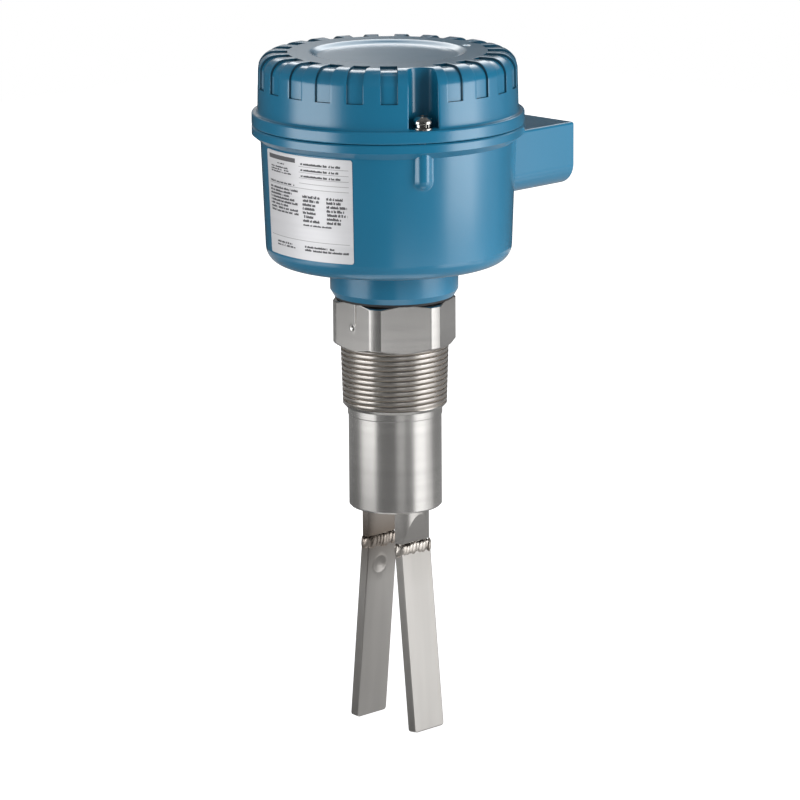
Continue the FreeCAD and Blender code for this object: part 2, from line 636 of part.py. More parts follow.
def wall_joints(body):
    """Edges where the entry block and the lock boss run into the pot's wall."""
    joints = []
    for edge in body.Edges:
        middle = edge.valueAt((edge.FirstParameter + edge.LastParameter) / 2)
        reach = math.hypot(middle.x - POT_OFFSET, middle.y)
        on_wall = abs(reach - wall_radius(middle.z)) < JOINT_PROBE
        upright_wall = POT_FLOOR_Z + POT_EDGE_ROUND < middle.z < WALL_TOP_Z - JOINT_PROBE
        if on_wall and upright_wall and not edge.isClosed():
            joints.append(edge)
    return joints


def housing():
    """Cast pot with neck, entry block, lock boss, module posts and earth pillar."""
    body = joined(pot_shell(), [neck(), entry_block(), lock_boss()])
    body = body.makeFillet(CAST_ROUND, wall_joints(body))
    body = body.cut(pot_hollow())
    inner_parts = []
    for angle in POST_ANGLES:
        foot = polar(POST_ORBIT, angle)
        inner_parts.append(rod(POST_RADIUS, POT_INSIDE_Z - ROOTED, CARRIER_BOTTOM_Z, foot))
    inner_parts.append(rod(EARTH_PILLAR_RADIUS, POT_INSIDE_Z - ROOTED, EARTH_PILLAR_Z,
                           polar(EARTH_ORBIT, EARTH_ANGLE)))
    body = joined(body, inner_parts)
    holes = [rod(SPIGOT_RADIUS + FIT_PLAY, NECK_BOTTOM_Z - OVER, POT_INSIDE_Z + OVER),
             rod(LOCK_SCREW_RADIUS + THREAD_PLAY, LOCK_TIP_Z - LOCK_TIP_ROOM, FLANGE_TOP_Z + OVER,
                 polar(LOCK_ORBIT, LOCK_ANGLE)),
             rod(EARTH_SCREW_RADIUS + THREAD_PLAY, EARTH_PILLAR_Z - EARTH_SCREW_DEPTH - OVER,
                 EARTH_PILLAR_Z + OVER, polar(EARTH_ORBIT, EARTH_ANGLE))]
    for angle in POST_ANGLES:
        holes.append(rod(MODULE_SCREW_RADIUS + THREAD_PLAY, CARRIER_BOTTOM_Z - MODULE_SCREW_DEPTH - OVER,
                         CARRIER_BOTTOM_Z + OVER, polar(POST_ORBIT, angle)))
    for side in (-1, 1):
        start = V(POT_OFFSET + POT_INNER_RADIUS / 2, side * ENTRY_SPACING / 2, ENTRY_Z)
        holes.append(Part.makeCylinder(ENTRY_RADIUS, BLOCK_END, start, ALONG_X))
        mouth = V(BLOCK_END_X - ENTRY_CHAMFER, side * ENTRY_SPACING / 2, ENTRY_Z)
        wide = ENTRY_RADIUS + ENTRY_CHAMFER
        holes.append(Part.makeCone(ENTRY_RADIUS, wide, ENTRY_CHAMFER, mouth, ALONG_X))
    for hole in holes:
        body = body.cut(hole)
    return body


def lid_body():
    """Turned form of the lid with its flange, skirt, hollow and dished top."""
    half_groove = SEAL_SECTION / 2 + FIT_PLAY
    groove = SEAL_OUTER_RADIUS - SEAL_SECTION - FIT_PLAY
    dish_floor_z = LID_TOP_Z - DISH_DEPTH
    return turned([(0, dish_floor_z), (DISH_RADIUS - DISH_SLOPE, dish_floor_z, DISH_ROUND),
                   (DISH_RADIUS, LID_TOP_Z),
                   (LID_SHOULDER_RADIUS, LID_TOP_Z, LID_SHOULDER_ROUND),
                   (LID_BASE_RADIUS, LID_FLANGE_TOP_Z),
                   (FLANGE_RADIUS - FLANGE_EDGE, LID_FLANGE_TOP_Z),
                   (FLANGE_RADIUS, LID_FLANGE_TOP_Z - FLANGE_EDGE),
                   (FLANGE_RADIUS, LID_BOTTOM_Z + FLANGE_EDGE), (FLANGE_RADIUS - FLANGE_EDGE, LID_BOTTOM_Z),
                   (SKIRT_RADIUS, LID_BOTTOM_Z), (SKIRT_RADIUS, SEAL_Z + half_groove),
                   (groove, SEAL_Z + half_groove), (groove, SEAL_Z - half_groove),
                   (SKIRT_RADIUS, SEAL_Z - half_groove), (SKIRT_RADIUS, SKIRT_BOTTOM_Z),
                   (LID_INNER_RADIUS, SKIRT_BOTTOM_Z), (LID_INNER_RADIUS, LID_CEILING_Z - LID_INNER_CHAMFER),
                   (LID_INNER_RADIUS - LID_INNER_CHAMFER, LID_CEILING_Z), (0, LID_CEILING_Z)], POT_AXIS)


def recess_band():
    """The layer that a grip recess takes out of the lid's shoulder."""
    reach = LID_BASE_RADIUS + OVER
    over = LID_TOP_Z + OVER
    floor_z = LID_TOP_Z - RECESS_DEPTH
    wall = LID_SHOULDER_RADIUS - RECESS_DEPTH
    return turned([(RECESS_INNER_RADIUS, over), (RECESS_INNER_RADIUS, floor_z),
                   (wall, floor_z, LID_SHOULDER_ROUND - RECESS_DEPTH), (wall, RECESS_BOTTOM_Z),
                   (reach, RECESS_BOTTOM_Z), (reach, over)], POT_AXIS)


def lock_pocket():
    """Upright pocket in the lid's side that leaves room for the lock screw's head."""
    half = POCKET_WIDTH / 2
    outer = FLANGE_RADIUS + 2
    corners = [(POCKET_WALL_RADIUS, -half, POCKET_CORNER), (outer, -half), (outer, half),
               (POCKET_WALL_RADIUS, half, POCKET_CORNER)]
    face = Part.Face(outline(corners, lambda p: V(p.x, p.y, LID_FLANGE_TOP_Z)))
    pocket = face.extrude(V(0, 0, LID_TOP_Z))
    pocket.rotate(CENTRE, UP, LOCK_ANGLE)
    pocket.translate(POT_AXIS)
    return pocket


def lid():
    """Castellated screw-on lid; the pocket takes the place of one grip recess."""
    body = lid_body()
    band = recess_band()
    step = 360.0 / RECESS_COUNT
    tools = [lock_pocket()]
    for index in range(1, RECESS_COUNT):
        angle = LOCK_ANGLE + index * step
        slot = box(FLANGE_RADIUS, RECESS_WIDTH, LID_TOP_Z, FLANGE_RADIUS, 0, RECESS_BOTTOM_Z - OVER)
        slot.rotate(CENTRE, UP, angle)
        slot.translate(POT_AXIS)
        tools.append(band.common(slot))
    pip_centre = polar(DISH_RADIUS + PIP_OUTSIDE_DISH, PIP_ANGLE, LID_TOP_Z)
    ball = (PIP_RADIUS ** 2 + PIP_DEPTH ** 2) / (2 * PIP_DEPTH)
    tools.append(Part.makeSphere(ball, pip_centre + V(0, 0, ball - PIP_DEPTH)))
    tools.append(rod(LOCK_SCREW_RADIUS + LOCK_HOLE_PLAY, LID_BOTTOM_Z - OVER, LID_FLANGE_TOP_Z + OVER,
                     polar(LOCK_ORBIT, LOCK_ANGLE)))
    return body.cut(Part.makeCompound(tools))


def lid_seal():
    """Seal ring in the groove of the lid's skirt."""
    return seal_ring(SEAL_OUTER_RADIUS - SEAL_SECTION, SEAL_SECTION, SEAL_Z, POT_AXIS)


def lock_screw():
    """Pan-head screw with a cross recess that keeps the lid from turning."""
    place = polar(LOCK_ORBIT, LOCK_ANGLE)
    top = LOCK_SEAT_Z + LOCK_HEAD_HEIGHT
    rim = LOCK_SCREW_RADIUS + LOCK_HEAD_WALL
    head = turned([(0, LOCK_SEAT_Z), (rim, LOCK_SEAT_Z), (rim, top, LOCK_HEAD_ROUND), (0, top)], place)
    for turn in (45, 135):
        bar = box(LOCK_CROSS_LENGTH, LOCK_CROSS_WIDTH, LOCK_CROSS_DEPTH + OVER, 0, 0, top - LOCK_CROSS_DEPTH)
        bar.rotate(CENTRE, UP, turn)
        bar.translate(V(place.x, place.y, 0))
        head = head.cut(bar)
    shank = rod(LOCK_SCREW_RADIUS, LOCK_TIP_Z, LOCK_SEAT_Z, place)
    return head.fuse(shank).removeSplitter()


def lock_spring_washer():
    """Split spring washer under the lock screw's head."""
    place = polar(LOCK_ORBIT, LOCK_ANGLE)
    low = LID_FLANGE_TOP_Z + FLAT_WASHER
    hole = LOCK_SCREW_RADIUS + FIT_PLAY
    rim = hole + SPRING_WASHER_WALL
    washer = ring(hole, rim, low, low + SPRING_WASHER, place)
    slit = box(rim * 2, SPRING_WASHER_SLIT, SPRING_WASHER * 2, rim, 0, low - SPRING_WASHER / 2)
    slit.rotate(CENTRE, UP, LOCK_ANGLE + SPRING_WASHER_TURN)
    slit.translate(place)
    return washer.cut(slit)


def lock_flat_washer():
    """Flat washer on the lid's flange."""
    hole = LOCK_SCREW_RADIUS + FIT_PLAY
    return ring(hole, hole + FLAT_WASHER_WALL, LID_FLANGE_TOP_Z, LID_FLANGE_TOP_Z + FLAT_WASHER,
                polar(LOCK_ORBIT, LOCK_ANGLE))


def wall_radius(z):
    """Outer radius of the pot's wall at a level."""
    share = (z - POT_FLOOR_Z) / (WALL_TOP_Z - POT_FLOOR_Z)
    return POT_BOTTOM_RADIUS + share * POT_DRAFT


def name_plate():
    """Thin bare plate that follows the pot's wall."""
    low = wall_radius(PLATE_LOW_Z)
    high = wall_radius(PLATE_HIGH_Z)
    sheet = turned([(low, PLATE_LOW_Z), (low + PLATE_SHEET, PLATE_LOW_Z),
                    (high + PLATE_SHEET, PLATE_HIGH_Z), (high, PLATE_HIGH_Z)],
                   POT_AXIS, PLATE_ANGLE - PLATE_SPAN / 2, PLATE_SPAN)
    corners = [edge for edge in sheet.Edges if edge.Length < PLATE_SHEET * 1.5]
    return sheet.makeFillet(PLATE_CORNER, corners)


def blanking_plug():
    """Hexagon-head plug that closes the entry on the +Y side."""
    seat = BLOCK_END_X + PLUG_SEAL_THICKNESS
    top = seat + PLUG_HEAD_HEIGHT
    half = ENTRY_RADIUS + PLUG_HEAD_WALL
    corner = half / math.cos(math.radians(30))
    crown = turned([(0, seat), (corner, seat), (corner, top - PLUG_HEAD_CHAMFER), (half, top), (0, top)])
    head = hexagon(2 * half, seat, top)
    shank = rod(ENTRY_RADIUS - THREAD_PLAY, seat - PLUG_SHANK, seat)
    bore = rod(ENTRY_RADIUS - PLUG_WALL, seat - PLUG_SHANK - OVER, seat - PLUG_SHANK + PLUG_BORE_DEPTH)
    plug = head.common(crown).fuse(shank).removeSplitter().cut(bore)
    return lay_along_x(plug)


def plug_seal():
    """Flat seal under the plug's head."""
    hole = ENTRY_RADIUS + FIT_PLAY
    return lay_along_x(ring(hole, hole + PLUG_SEAL_WALL, BLOCK_END_X, BLOCK_END_X + PLUG_SEAL_THICKNESS))


def lay_along_x(shape):
    """Turn a piece made upright so that it lies along X in the +Y entry."""
    shape.rotate(CENTRE, V(0, 1, 0), 90)
    shape.translate(V(0, ENTRY_SPACING / 2, ENTRY_Z))
    return shape


def lock_nut():
    """Nut inside the pot that pulls the spigot tight."""
    half = SPIGOT_RADIUS + NUT_WALL
    corner = half / math.cos(math.radians(30))
    nut = hexagon(2 * half, NUT_BOTTOM_Z, NUT_TOP_Z)
    crown = turned([(0, NUT_BOTTOM_Z), (corner, NUT_BOTTOM_Z), (corner, NUT_TOP_Z - NUT_CHAMFER),
                    (half, NUT_TOP_Z), (0, NUT_TOP_Z)])
    return nut.common(crown).cut(rod(SPIGOT_RADIUS + THREAD_PLAY, NUT_BOTTOM_Z - OVER, NUT_TOP_Z + OVER))


def module_pillar_points(orbit, angles):
    """Places on a circle about the pot's axis."""
    return [polar(orbit, angle) for angle in angles]


def electronics_carrier():
    """Moulded tray that stands on the posts and holds the board."""
    floor_top = CARRIER_BOTTOM_Z + CARRIER_FLOOR
    tray = turned([(0, CARRIER_BOTTOM_Z), (CARRIER_RADIUS, CARRIER_BOTTOM_Z),
                   (CARRIER_RADIUS, CARRIER_TOP_Z), (CARRIER_RADIUS - CARRIER_WALL, CARRIER_TOP_Z),
                   (CARRIER_RADIUS - CARRIER_WALL, floor_top), (0, floor_top)], POT_AXIS)
    columns = [rod(COLUMN_RADIUS, floor_top - MERGED, CARRIER_TOP_Z, place)
               for place in module_pillar_points(POST_ORBIT, POST_ANGLES)]
    standoffs = [rod(STANDOFF_RADIUS, floor_top - MERGED, BOARD_Z, place)
                 for place in module_pillar_points(STANDOFF_ORBIT, STANDOFF_ANGLES)]
    tray = joined(tray, columns + standoffs)
    for place in module_pillar_points(POST_ORBIT, POST_ANGLES):
        hole = rod(MODULE_SCREW_RADIUS + FIT_PLAY, CARRIER_BOTTOM_Z - OVER, CARRIER_TOP_Z + OVER, place)
        tray = tray.cut(hole)
    return tray.cut(rod(CARRIER_LEAD_HOLE, CARRIER_BOTTOM_Z - OVER, floor_top + OVER))


def circuit_board():
    """Round board notched round the carrier's screw columns."""
    board = rod(BOARD_RADIUS, BOARD_Z, BOARD_TOP_Z, POT_AXIS)
    for place in module_pillar_points(POST_ORBIT, POST_ANGLES):
        board = board.cut(rod(COLUMN_RADIUS + WINDOW_PLAY, BOARD_Z - OVER, BOARD_TOP_Z + OVER, place))
    return board


def module_cover():
    """Moulded cover with windows for the terminals, the lamp and both switches."""
    cover = rod(CARRIER_RADIUS, CARRIER_TOP_Z, COVER_TOP_Z, POT_AXIS)
    under = CARRIER_TOP_Z - OVER
    tall = COVER_THICKNESS + 2 * OVER
    cuts = [box(TERMINAL_DEPTH + 2 * WINDOW_PLAY, TERMINAL_LENGTH + 2 * WINDOW_PLAY, tall,
                TERMINAL_X, 0, under),
            rod(LAMP_RADIUS + WINDOW_PLAY, under, COVER_TOP_Z + OVER, V(*LAMP_PLACE, 0))]
    for x, y in SWITCH_PLACES.values():
        cuts.append(box(KNOB_LENGTH + SWITCH_TRAVEL + 4 * KNOB_PLAY, KNOB_WIDTH + 2 * KNOB_PLAY, tall,
                        x + SWITCH_TRAVEL / 2, y, under))
    for place in module_pillar_points(POST_ORBIT, POST_ANGLES):
        cuts.append(rod(MODULE_SCREW_RADIUS + FIT_PLAY, under, COVER_TOP_Z + OVER, place))
    for tool in cuts:
        cover = cover.cut(tool)
    return cover


def module_screws():
    """Three long screws through the cover and the carrier into the posts."""
    depth = COVER_TOP_Z - CARRIER_BOTTOM_Z + MODULE_SCREW_DEPTH
    screws = []
    for angle in POST_ANGLES:
        screws.append(slotted_screw(polar(POST_ORBIT, angle), COVER_TOP_Z, SCREW_HEAD_WALL,
                                    SCREW_HEAD_HEIGHT, MODULE_SCREW_RADIUS, depth, angle))
    return Part.makeCompound(screws)


def terminal_ways():
    """Places of the terminal screws along Y."""
    first = -(TERMINAL_WAYS - 1) / 2 * TERMINAL_PITCH
    return [first + index * TERMINAL_PITCH for index in range(TERMINAL_WAYS)]


def terminal_block():
    """Stepped terminal strip on the board, with a screw well and a wire hole for each way."""
    low = BOARD_TOP_Z
    half = TERMINAL_DEPTH / 2
    ledge_z = TERMINAL_TOP_Z - TERMINAL_STEP
    corners = [(-half, low), (half, low), (half, ledge_z), (half - TERMINAL_SLOPE, TERMINAL_TOP_Z),
               (-half, TERMINAL_TOP_Z)]
    face = Part.Face(outline(corners, lambda p: V(TERMINAL_X + p.x, -TERMINAL_LENGTH / 2, p.y)))
    strip = face.extrude(V(0, TERMINAL_LENGTH, 0))
    tools = []
    for y in terminal_ways():
        well = V(TERMINAL_X + TERMINAL_SCREW_OFFSET, y, 0)
        tools.append(rod(TERMINAL_SCREW_RADIUS + WINDOW_PLAY, TERMINAL_TOP_Z - TERMINAL_WELL,
                         TERMINAL_TOP_Z + OVER, well))
        tools.append(box(WIRE_HOLE_DEPTH * 2, WIRE_HOLE, WIRE_HOLE, TERMINAL_X + half, y,
                         ledge_z - WIRE_HOLE - OVER))
    return strip.cut(Part.makeCompound(tools))


def terminal_screws():
    """Clamp screws standing in the wells of the terminal strip."""
    low = TERMINAL_TOP_Z - TERMINAL_WELL
    screws = []
    for y in terminal_ways():
        place = V(TERMINAL_X + TERMINAL_SCREW_OFFSET, y, 0)
        screw = rod(TERMINAL_SCREW_RADIUS, low, low + TERMINAL_SCREW_HEIGHT, place)
        slot = box(TERMINAL_SCREW_RADIUS * 3, TERMINAL_SLOT, TERMINAL_SCREW_HEIGHT, place.x, place.y,
                   low + TERMINAL_SCREW_HEIGHT - TERMINAL_SLOT)
        screws.append(screw.cut(slot))
    return Part.makeCompound(screws)


def board_block(size, place):
    """Boxed component standing on the board."""
    return box(size[0], size[1], size[2], place[0], place[1], BOARD_TOP_Z)


def status_lamp():
    """Small lamp that looks out through the cover."""
    place = V(LAMP_PLACE[0], LAMP_PLACE[1], 0)
    top = COVER_TOP_Z + LAMP_PROUD
    foot = LAMP_RADIUS + LAMP_FOOT
    foot_z = BOARD_TOP_Z + 2 * LAMP_FOOT
    return turned([(0, BOARD_TOP_Z), (foot, BOARD_TOP_Z), (foot, foot_z), (LAMP_RADIUS, foot_z),
                   (LAMP_RADIUS, top, LAMP_RADIUS * 0.9), (0, top)], place)


def switch_bodies():
    """Housings of both slide switches, each with a channel for its knob."""
    bodies = []
    for x, y in SWITCH_PLACES.values():
        body = box(SWITCH_LENGTH, SWITCH_WIDTH, SWITCH_BODY_HEIGHT, x + SWITCH_TRAVEL / 2, y, BOARD_TOP_Z)
        channel_z = BOARD_TOP_Z + SWITCH_BODY_HEIGHT - KNOB_FOOT_HEIGHT - 2 * KNOB_PLAY
        channel = box(KNOB_FOOT_LENGTH + SWITCH_TRAVEL + 2 * KNOB_PLAY, KNOB_WIDTH + 2 * KNOB_PLAY,
                      SWITCH_BODY_HEIGHT, x + SWITCH_TRAVEL / 2, y, channel_z)
        bodies.append(body.cut(channel))
    return Part.makeCompound(bodies)


def switch_knob(x, y):
    """Sliding knob that reaches up through the cover."""
    foot_z = BOARD_TOP_Z + SWITCH_BODY_HEIGHT - KNOB_FOOT_HEIGHT - KNOB_PLAY
    foot = box(KNOB_FOOT_LENGTH, KNOB_WIDTH, KNOB_FOOT_HEIGHT, x, y, foot_z)
    stem_z = foot_z + KNOB_FOOT_HEIGHT
    stem = box(KNOB_LENGTH, KNOB_WIDTH, COVER_TOP_Z + KNOB_ABOVE_COVER - stem_z, x, y, stem_z)
    return foot.fuse(stem).removeSplitter()


def earth_parts():
    """Earth screw and its clamp washer on the pillar."""
    place = polar(EARTH_ORBIT, EARTH_ANGLE)
    hole = EARTH_SCREW_RADIUS + FIT_PLAY
    seat = EARTH_PILLAR_Z + EARTH_CLAMP
    clamp = ring(hole, hole + EARTH_CLAMP_WALL, EARTH_PILLAR_Z, seat, place)
    screw = slotted_screw(place, seat, EARTH_HEAD_WALL, EARTH_HEAD_HEIGHT, EARTH_SCREW_RADIUS,
                          EARTH_SCREW_DEPTH, EARTH_SLOT_TURN)
    return {"earth_clamp": clamp, "earth_screw": screw}


def build_nodes():
    """Every piece by its node name."""
    nodes = {
        "lid": lid(),
        "lid_seal": lid_seal(),
        "lock_screw": lock_screw(),
        "lock_spring_washer": lock_spring_washer(),
        "lock_flat_washer": lock_flat_washer(),
        "housing": housing(),
        "name_plate": name_plate(),
        "blanking_plug": blanking_plug(),
        "plug_seal": plug_seal(),
        "neck_gasket": ring(SPIGOT_RADIUS + FIT_PLAY, GASKET_RADIUS, HEX_HEIGHT, NECK_BOTTOM_Z),
        "spigot_seal": seal_ring(SPIGOT_RADIUS + FIT_PLAY - SPIGOT_SEAL_SECTION, SPIGOT_SEAL_SECTION,
                                 SPIGOT_SEAL_Z),
        "process_connection": process_connection(),
        "lock_nut_washer": ring(SPIGOT_RADIUS + FIT_PLAY, SPIGOT_RADIUS + FIT_PLAY + NUT_WASHER_WALL,
                                POT_INSIDE_Z, NUT_BOTTOM_Z),
        "lock_nut": lock_nut(),
        "sensor_tube": sensor_tube(),
        "fork_diaphragm": fork_diaphragm(),
        "front_tine": tine(-1),
        "rear_tine": tine(1),
        "sensor_leads": sensor_leads(),
        "lead_grommet": lead_grommet(),
        "electronics_carrier": electronics_carrier(),
        "circuit_board": circuit_board(),
        "transformer": board_block(TRANSFORMER, TRANSFORMER_PLACE),
        "relay": board_block(RELAY, RELAY_PLACE),
        "terminal_block": terminal_block(),
        "terminal_screws": terminal_screws(),
        "status_lamp": status_lamp(),
        "switch_bodies": switch_bodies(),
        "module_cover": module_cover(),
        "module_screws": module_screws(),
    }
    for name, (x, y) in SWITCH_PLACES.items():
        nodes[name] = switch_knob(x, y)
    nodes.update(piezo_stack())
    nodes.update(earth_parts())
    return nodes


def main():
    os.makedirs("parts", exist_ok=True)
    for name, shape in build_nodes().items():
        shape.exportStep("parts/" + name + ".step")
        print(name, len(shape.Solids), "valid" if shape.isValid() else "INVALID",
              round(shape.Volume / 1000, 2), "cm3")


main()
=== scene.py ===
"""Looks of a vibrating fork level switch: painted housing, castellated lid, threaded hexagon and welded fork."""
import json
import math

import bmesh
import bpy
import numpy as np
from bpy.props import FloatProperty, FloatVectorProperty, IntProperty, PointerProperty
from mathutils import Matrix, Vector


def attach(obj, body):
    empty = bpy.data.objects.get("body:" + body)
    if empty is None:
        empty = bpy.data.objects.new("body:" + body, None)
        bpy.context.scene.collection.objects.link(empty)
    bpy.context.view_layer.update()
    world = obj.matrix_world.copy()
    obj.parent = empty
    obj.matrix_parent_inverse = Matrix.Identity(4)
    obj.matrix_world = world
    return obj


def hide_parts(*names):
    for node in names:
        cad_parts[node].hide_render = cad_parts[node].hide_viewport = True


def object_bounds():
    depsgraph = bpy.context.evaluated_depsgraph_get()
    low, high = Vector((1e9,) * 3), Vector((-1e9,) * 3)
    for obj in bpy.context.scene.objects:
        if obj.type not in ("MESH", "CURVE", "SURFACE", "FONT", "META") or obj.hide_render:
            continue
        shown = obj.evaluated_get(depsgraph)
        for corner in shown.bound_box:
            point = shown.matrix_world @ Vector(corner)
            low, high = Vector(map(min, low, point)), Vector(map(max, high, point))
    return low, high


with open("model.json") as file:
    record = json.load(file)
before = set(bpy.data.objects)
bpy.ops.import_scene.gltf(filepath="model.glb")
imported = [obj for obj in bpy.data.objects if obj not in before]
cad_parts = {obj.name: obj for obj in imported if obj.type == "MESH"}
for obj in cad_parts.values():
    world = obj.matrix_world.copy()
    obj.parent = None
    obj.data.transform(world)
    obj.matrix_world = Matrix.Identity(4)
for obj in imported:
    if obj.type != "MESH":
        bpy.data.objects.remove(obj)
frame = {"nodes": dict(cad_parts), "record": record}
cad_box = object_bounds()

bl_info = {
    "name": "Vibrating fork level switch",
    "version": (1, 0, 0),
    "blender": (4, 5, 0),
    "location": "View3D > Sidebar > Level switch",
    "description": "Builds the visible pieces and finishes of a vibrating fork level switch",
    "category": "Object",
}

MM = 0.001
SEED = 7
POT_X = -3.1                 # pot axis from the probe axis, in millimetres


def length(name, description, millimetres):
    """A length property given in millimetres."""
    return FloatProperty(name=name, description=description, default=millimetres * MM, min=0.0,
                         unit="LENGTH", precision=5)


def tint(name, description, value):
    """A colour property."""
    return FloatVectorProperty(name=name, description=description, default=value, size=3,
                               min=0.0, max=1.0, subtype="COLOR")


class LidSizes(bpy.types.PropertyGroup):
    recess_count: IntProperty(name="Grip places", default=24, min=8, max=60,
                              description="Grip recesses round the lid, the pocket's place included")
    recess_width: length("Recess width", "Width of each grip recess", 7.2)
    recess_depth: length("Recess depth", "Depth of each grip recess on the lid's side", 0.95)
    recess_top: length("Recess depth on top", "Depth of each grip recess at the lid's top", 1.05)
    shoulder: length("Shoulder round", "Radius of the rounded shoulder", 7.5)
    pocket_width: length("Pocket width", "Width of the lock screw's pocket", 12.9)
    dish_radius: length("Dish radius", "Radius of the dished top", 34.8)


class ConnectionSizes(bpy.types.PropertyGroup):
    flats: length("Across flats", "Hexagon across flats", 50.0)
    corners: length("Across corners", "Hexagon across its turned corners", 55.0)
    pitch: length("Thread pitch", "Distance between two grooves", 2.309)
    groove: length("Thread depth", "Depth of the thread groove", 0.36)


class ForkSizes(bpy.types.PropertyGroup):
    width: length("Blade width", "Width of each blade", 18.4)
    thickness: length("Blade thickness", "Thickness of each blade", 4.5)
    reach: length("Blade length", "Length of each blade below its weld", 80.5)
    splay: FloatProperty(name="Splay", description="Outward lean of each blade", default=math.radians(5.5),
                         subtype="ANGLE")
    ripple: length("Weld ripple", "Spacing of the weld's ripples", 2.1)


class Finishes(bpy.types.PropertyGroup):
    paint: tint("Paint", "Colour of the housing's and the lid's paint", (0.007, 0.120, 0.218))
    steel: tint("Steel", "Colour of the turned stainless steel", (0.467, 0.457, 0.443))
    blade: tint("Blade steel", "Colour of the fork's blades", (0.50, 0.485, 0.465))
    foil: tint("Plate", "Colour of the name plate", (0.575, 0.575, 0.59))


class StageSizes(bpy.types.PropertyGroup):
    distance: FloatProperty(name="Camera distance", description="Camera to the object's middle", default=2.0,
                            min=0.5, unit="LENGTH")
    azimuth: FloatProperty(name="Camera azimuth", description="Direction of the camera about the object",
                           default=math.radians(-45.0), subtype="ANGLE")
    elevation: FloatProperty(name="Camera elevation", description="How far the camera looks down",
                             default=math.radians(13.2), subtype="ANGLE")
    lens: FloatProperty(name="Focal length", description="Focal length in millimetres on a 36 mm sensor",
                        default=201.6, min=10.0)


# Meshes


def linked(name, data):
    """A new object of the scene with the given data."""
    piece = bpy.data.objects.new(name, data)
    bpy.context.scene.collection.objects.link(piece)
    return piece


def mesh_object(name, points, faces, material=None, smooth_angle=None):
    """A mesh object at the origin from points in millimetres."""
    mesh = bpy.data.meshes.new(name)
    mesh.from_pydata((np.asarray(points, float) * MM).tolist(), [], [tuple(face) for face in faces])
    mesh.polygons.foreach_set("use_smooth", [True] * len(mesh.polygons))
    mesh.update()
    piece = linked(name, mesh)
    if smooth_angle is not None:
        mesh.set_sharp_from_angle(angle=math.radians(smooth_angle))
    if material is not None:
        mesh.materials.append(material)
    return piece


def lofted(name, grid, material, poles=False, closed_rows=False, smooth_angle=None, shade=None):
    """A solid from a grid of rows and closed columns; poles close it at its first and last row's middle.

    Shade, 0 to 1 on the same grid, is kept as the attribute that darkens grooves and recess walls with painted shade.
    """
    rows, columns = grid.shape[:2]
    points = grid.reshape(-1, 3)
    here = np.arange(rows * columns).reshape(rows, columns)
    here = np.vstack([here, here[:1]]) if closed_rows else here
    right = np.roll(here, -1, 1)
    faces = np.stack([here[:-1], here[1:], right[1:], right[:-1]], -1).reshape(-1, 4).tolist()
    if poles:
        points = np.vstack([points, points[:columns].mean(0), points[-columns:].mean(0)])
        pole, last_row = rows * columns, (rows - 1) * columns
        for j in range(columns):
            k = (j + 1) % columns
            faces += [(pole, j, k), (pole + 1, last_row + k, last_row + j)]
    piece = mesh_object(name, points, faces, material, smooth_angle)
    if shade is not None:
        values = np.zeros(len(points))
        values[:rows * columns] = shade.reshape(-1)
        piece.data.attributes.new("shade", "FLOAT", "POINT").data.foreach_set("value", values.tolist())
    return piece


def rounded(corners, steps):
    """Rows (r, z) through corners (r, z, radius), each corner an arc with a holding row at either side."""
    hold = 0.25
    rows = []
    for index, corner in enumerate(corners):
        here = np.array(corner[:2], float)
        radius = corner[2] if len(corner) > 2 else 0.0
        if radius <= 0 or index in (0, len(corners) - 1):
            rows.append(here)
            continue
        back, ahead = (np.array(corners[index + side][:2], float) - here for side in (-1, 1))
        room_back, room_ahead = np.linalg.norm(back), np.linalg.norm(ahead)
        back, ahead = back / room_back, ahead / room_ahead
        half = math.acos(float(np.clip(back @ ahead, -1, 1))) / 2
        reach = radius / math.tan(half)
        centre = here + (back + ahead) / np.linalg.norm(back + ahead) * radius / math.sin(half)
        begin, end = here + back * reach, here + ahead * reach
        first, last = (math.atan2(*(place - centre)[::-1]) for place in (begin, end))
        turn = (last - first + math.pi) % (2 * math.pi) - math.pi
        if room_back > reach + 2 * hold:
            rows.append(begin + back * hold)
        for angle in first + turn * np.arange(steps + 1) / steps:
            rows.append(centre + radius * np.array([math.cos(angle), math.sin(angle)]))
        if room_ahead > reach + 2 * hold:
            rows.append(end + ahead * hold)
    return np.array(rows)


def around(centre_x, radius, angle, height, centre_y=0.0):
    """Points of a grid given by radius, angle and height arrays."""
    return np.stack(np.broadcast_arrays(centre_x + radius * np.cos(angle), centre_y + radius * np.sin(angle),
                                        height), -1)


def turned(name, corners, material, centre, closed=True):
    """A piece turned about an upright axis from its outline in millimetres."""
    rows = rounded([corners[-1], *corners, corners[0]], 4)[1:-1] if closed else rounded(corners, 4)
    angle = np.linspace(0, 2 * math.pi, 64, endpoint=False)
    grid = around(centre[0], rows[:, :1], angle, rows[:, 1:], centre[1])
    return lofted(name, grid, material, poles=not closed, closed_rows=closed, smooth_angle=40)


def smoothstep(low, high, value):
    share = np.clip((value - low) / (high - low), 0, 1)
    return share * share * (3 - 2 * share)


def held_under(value, limit, softness):
    """The lesser of two values, rounded off where they cross, and how far the limit counts."""
    share = np.clip(0.5 + 0.5 * (value - limit) / softness, 0, 1)
    return value * (1 - share) + limit * share - softness * share * (1 - share), share


def cut_out(piece, tool):
    """Take a tool's volume out of a piece."""
    modifier = piece.modifiers.new("cut", "BOOLEAN")
    modifier.operation, modifier.solver, modifier.object = "DIFFERENCE", "EXACT", tool
    graph = bpy.context.evaluated_depsgraph_get()
    graph.update()
    mesh = bpy.data.meshes.new_from_object(piece.evaluated_get(graph), depsgraph=graph)
    mesh.name = piece.name
    piece.modifiers.clear()
    piece.data = mesh
    bpy.data.objects.remove(tool)


# Shader groups


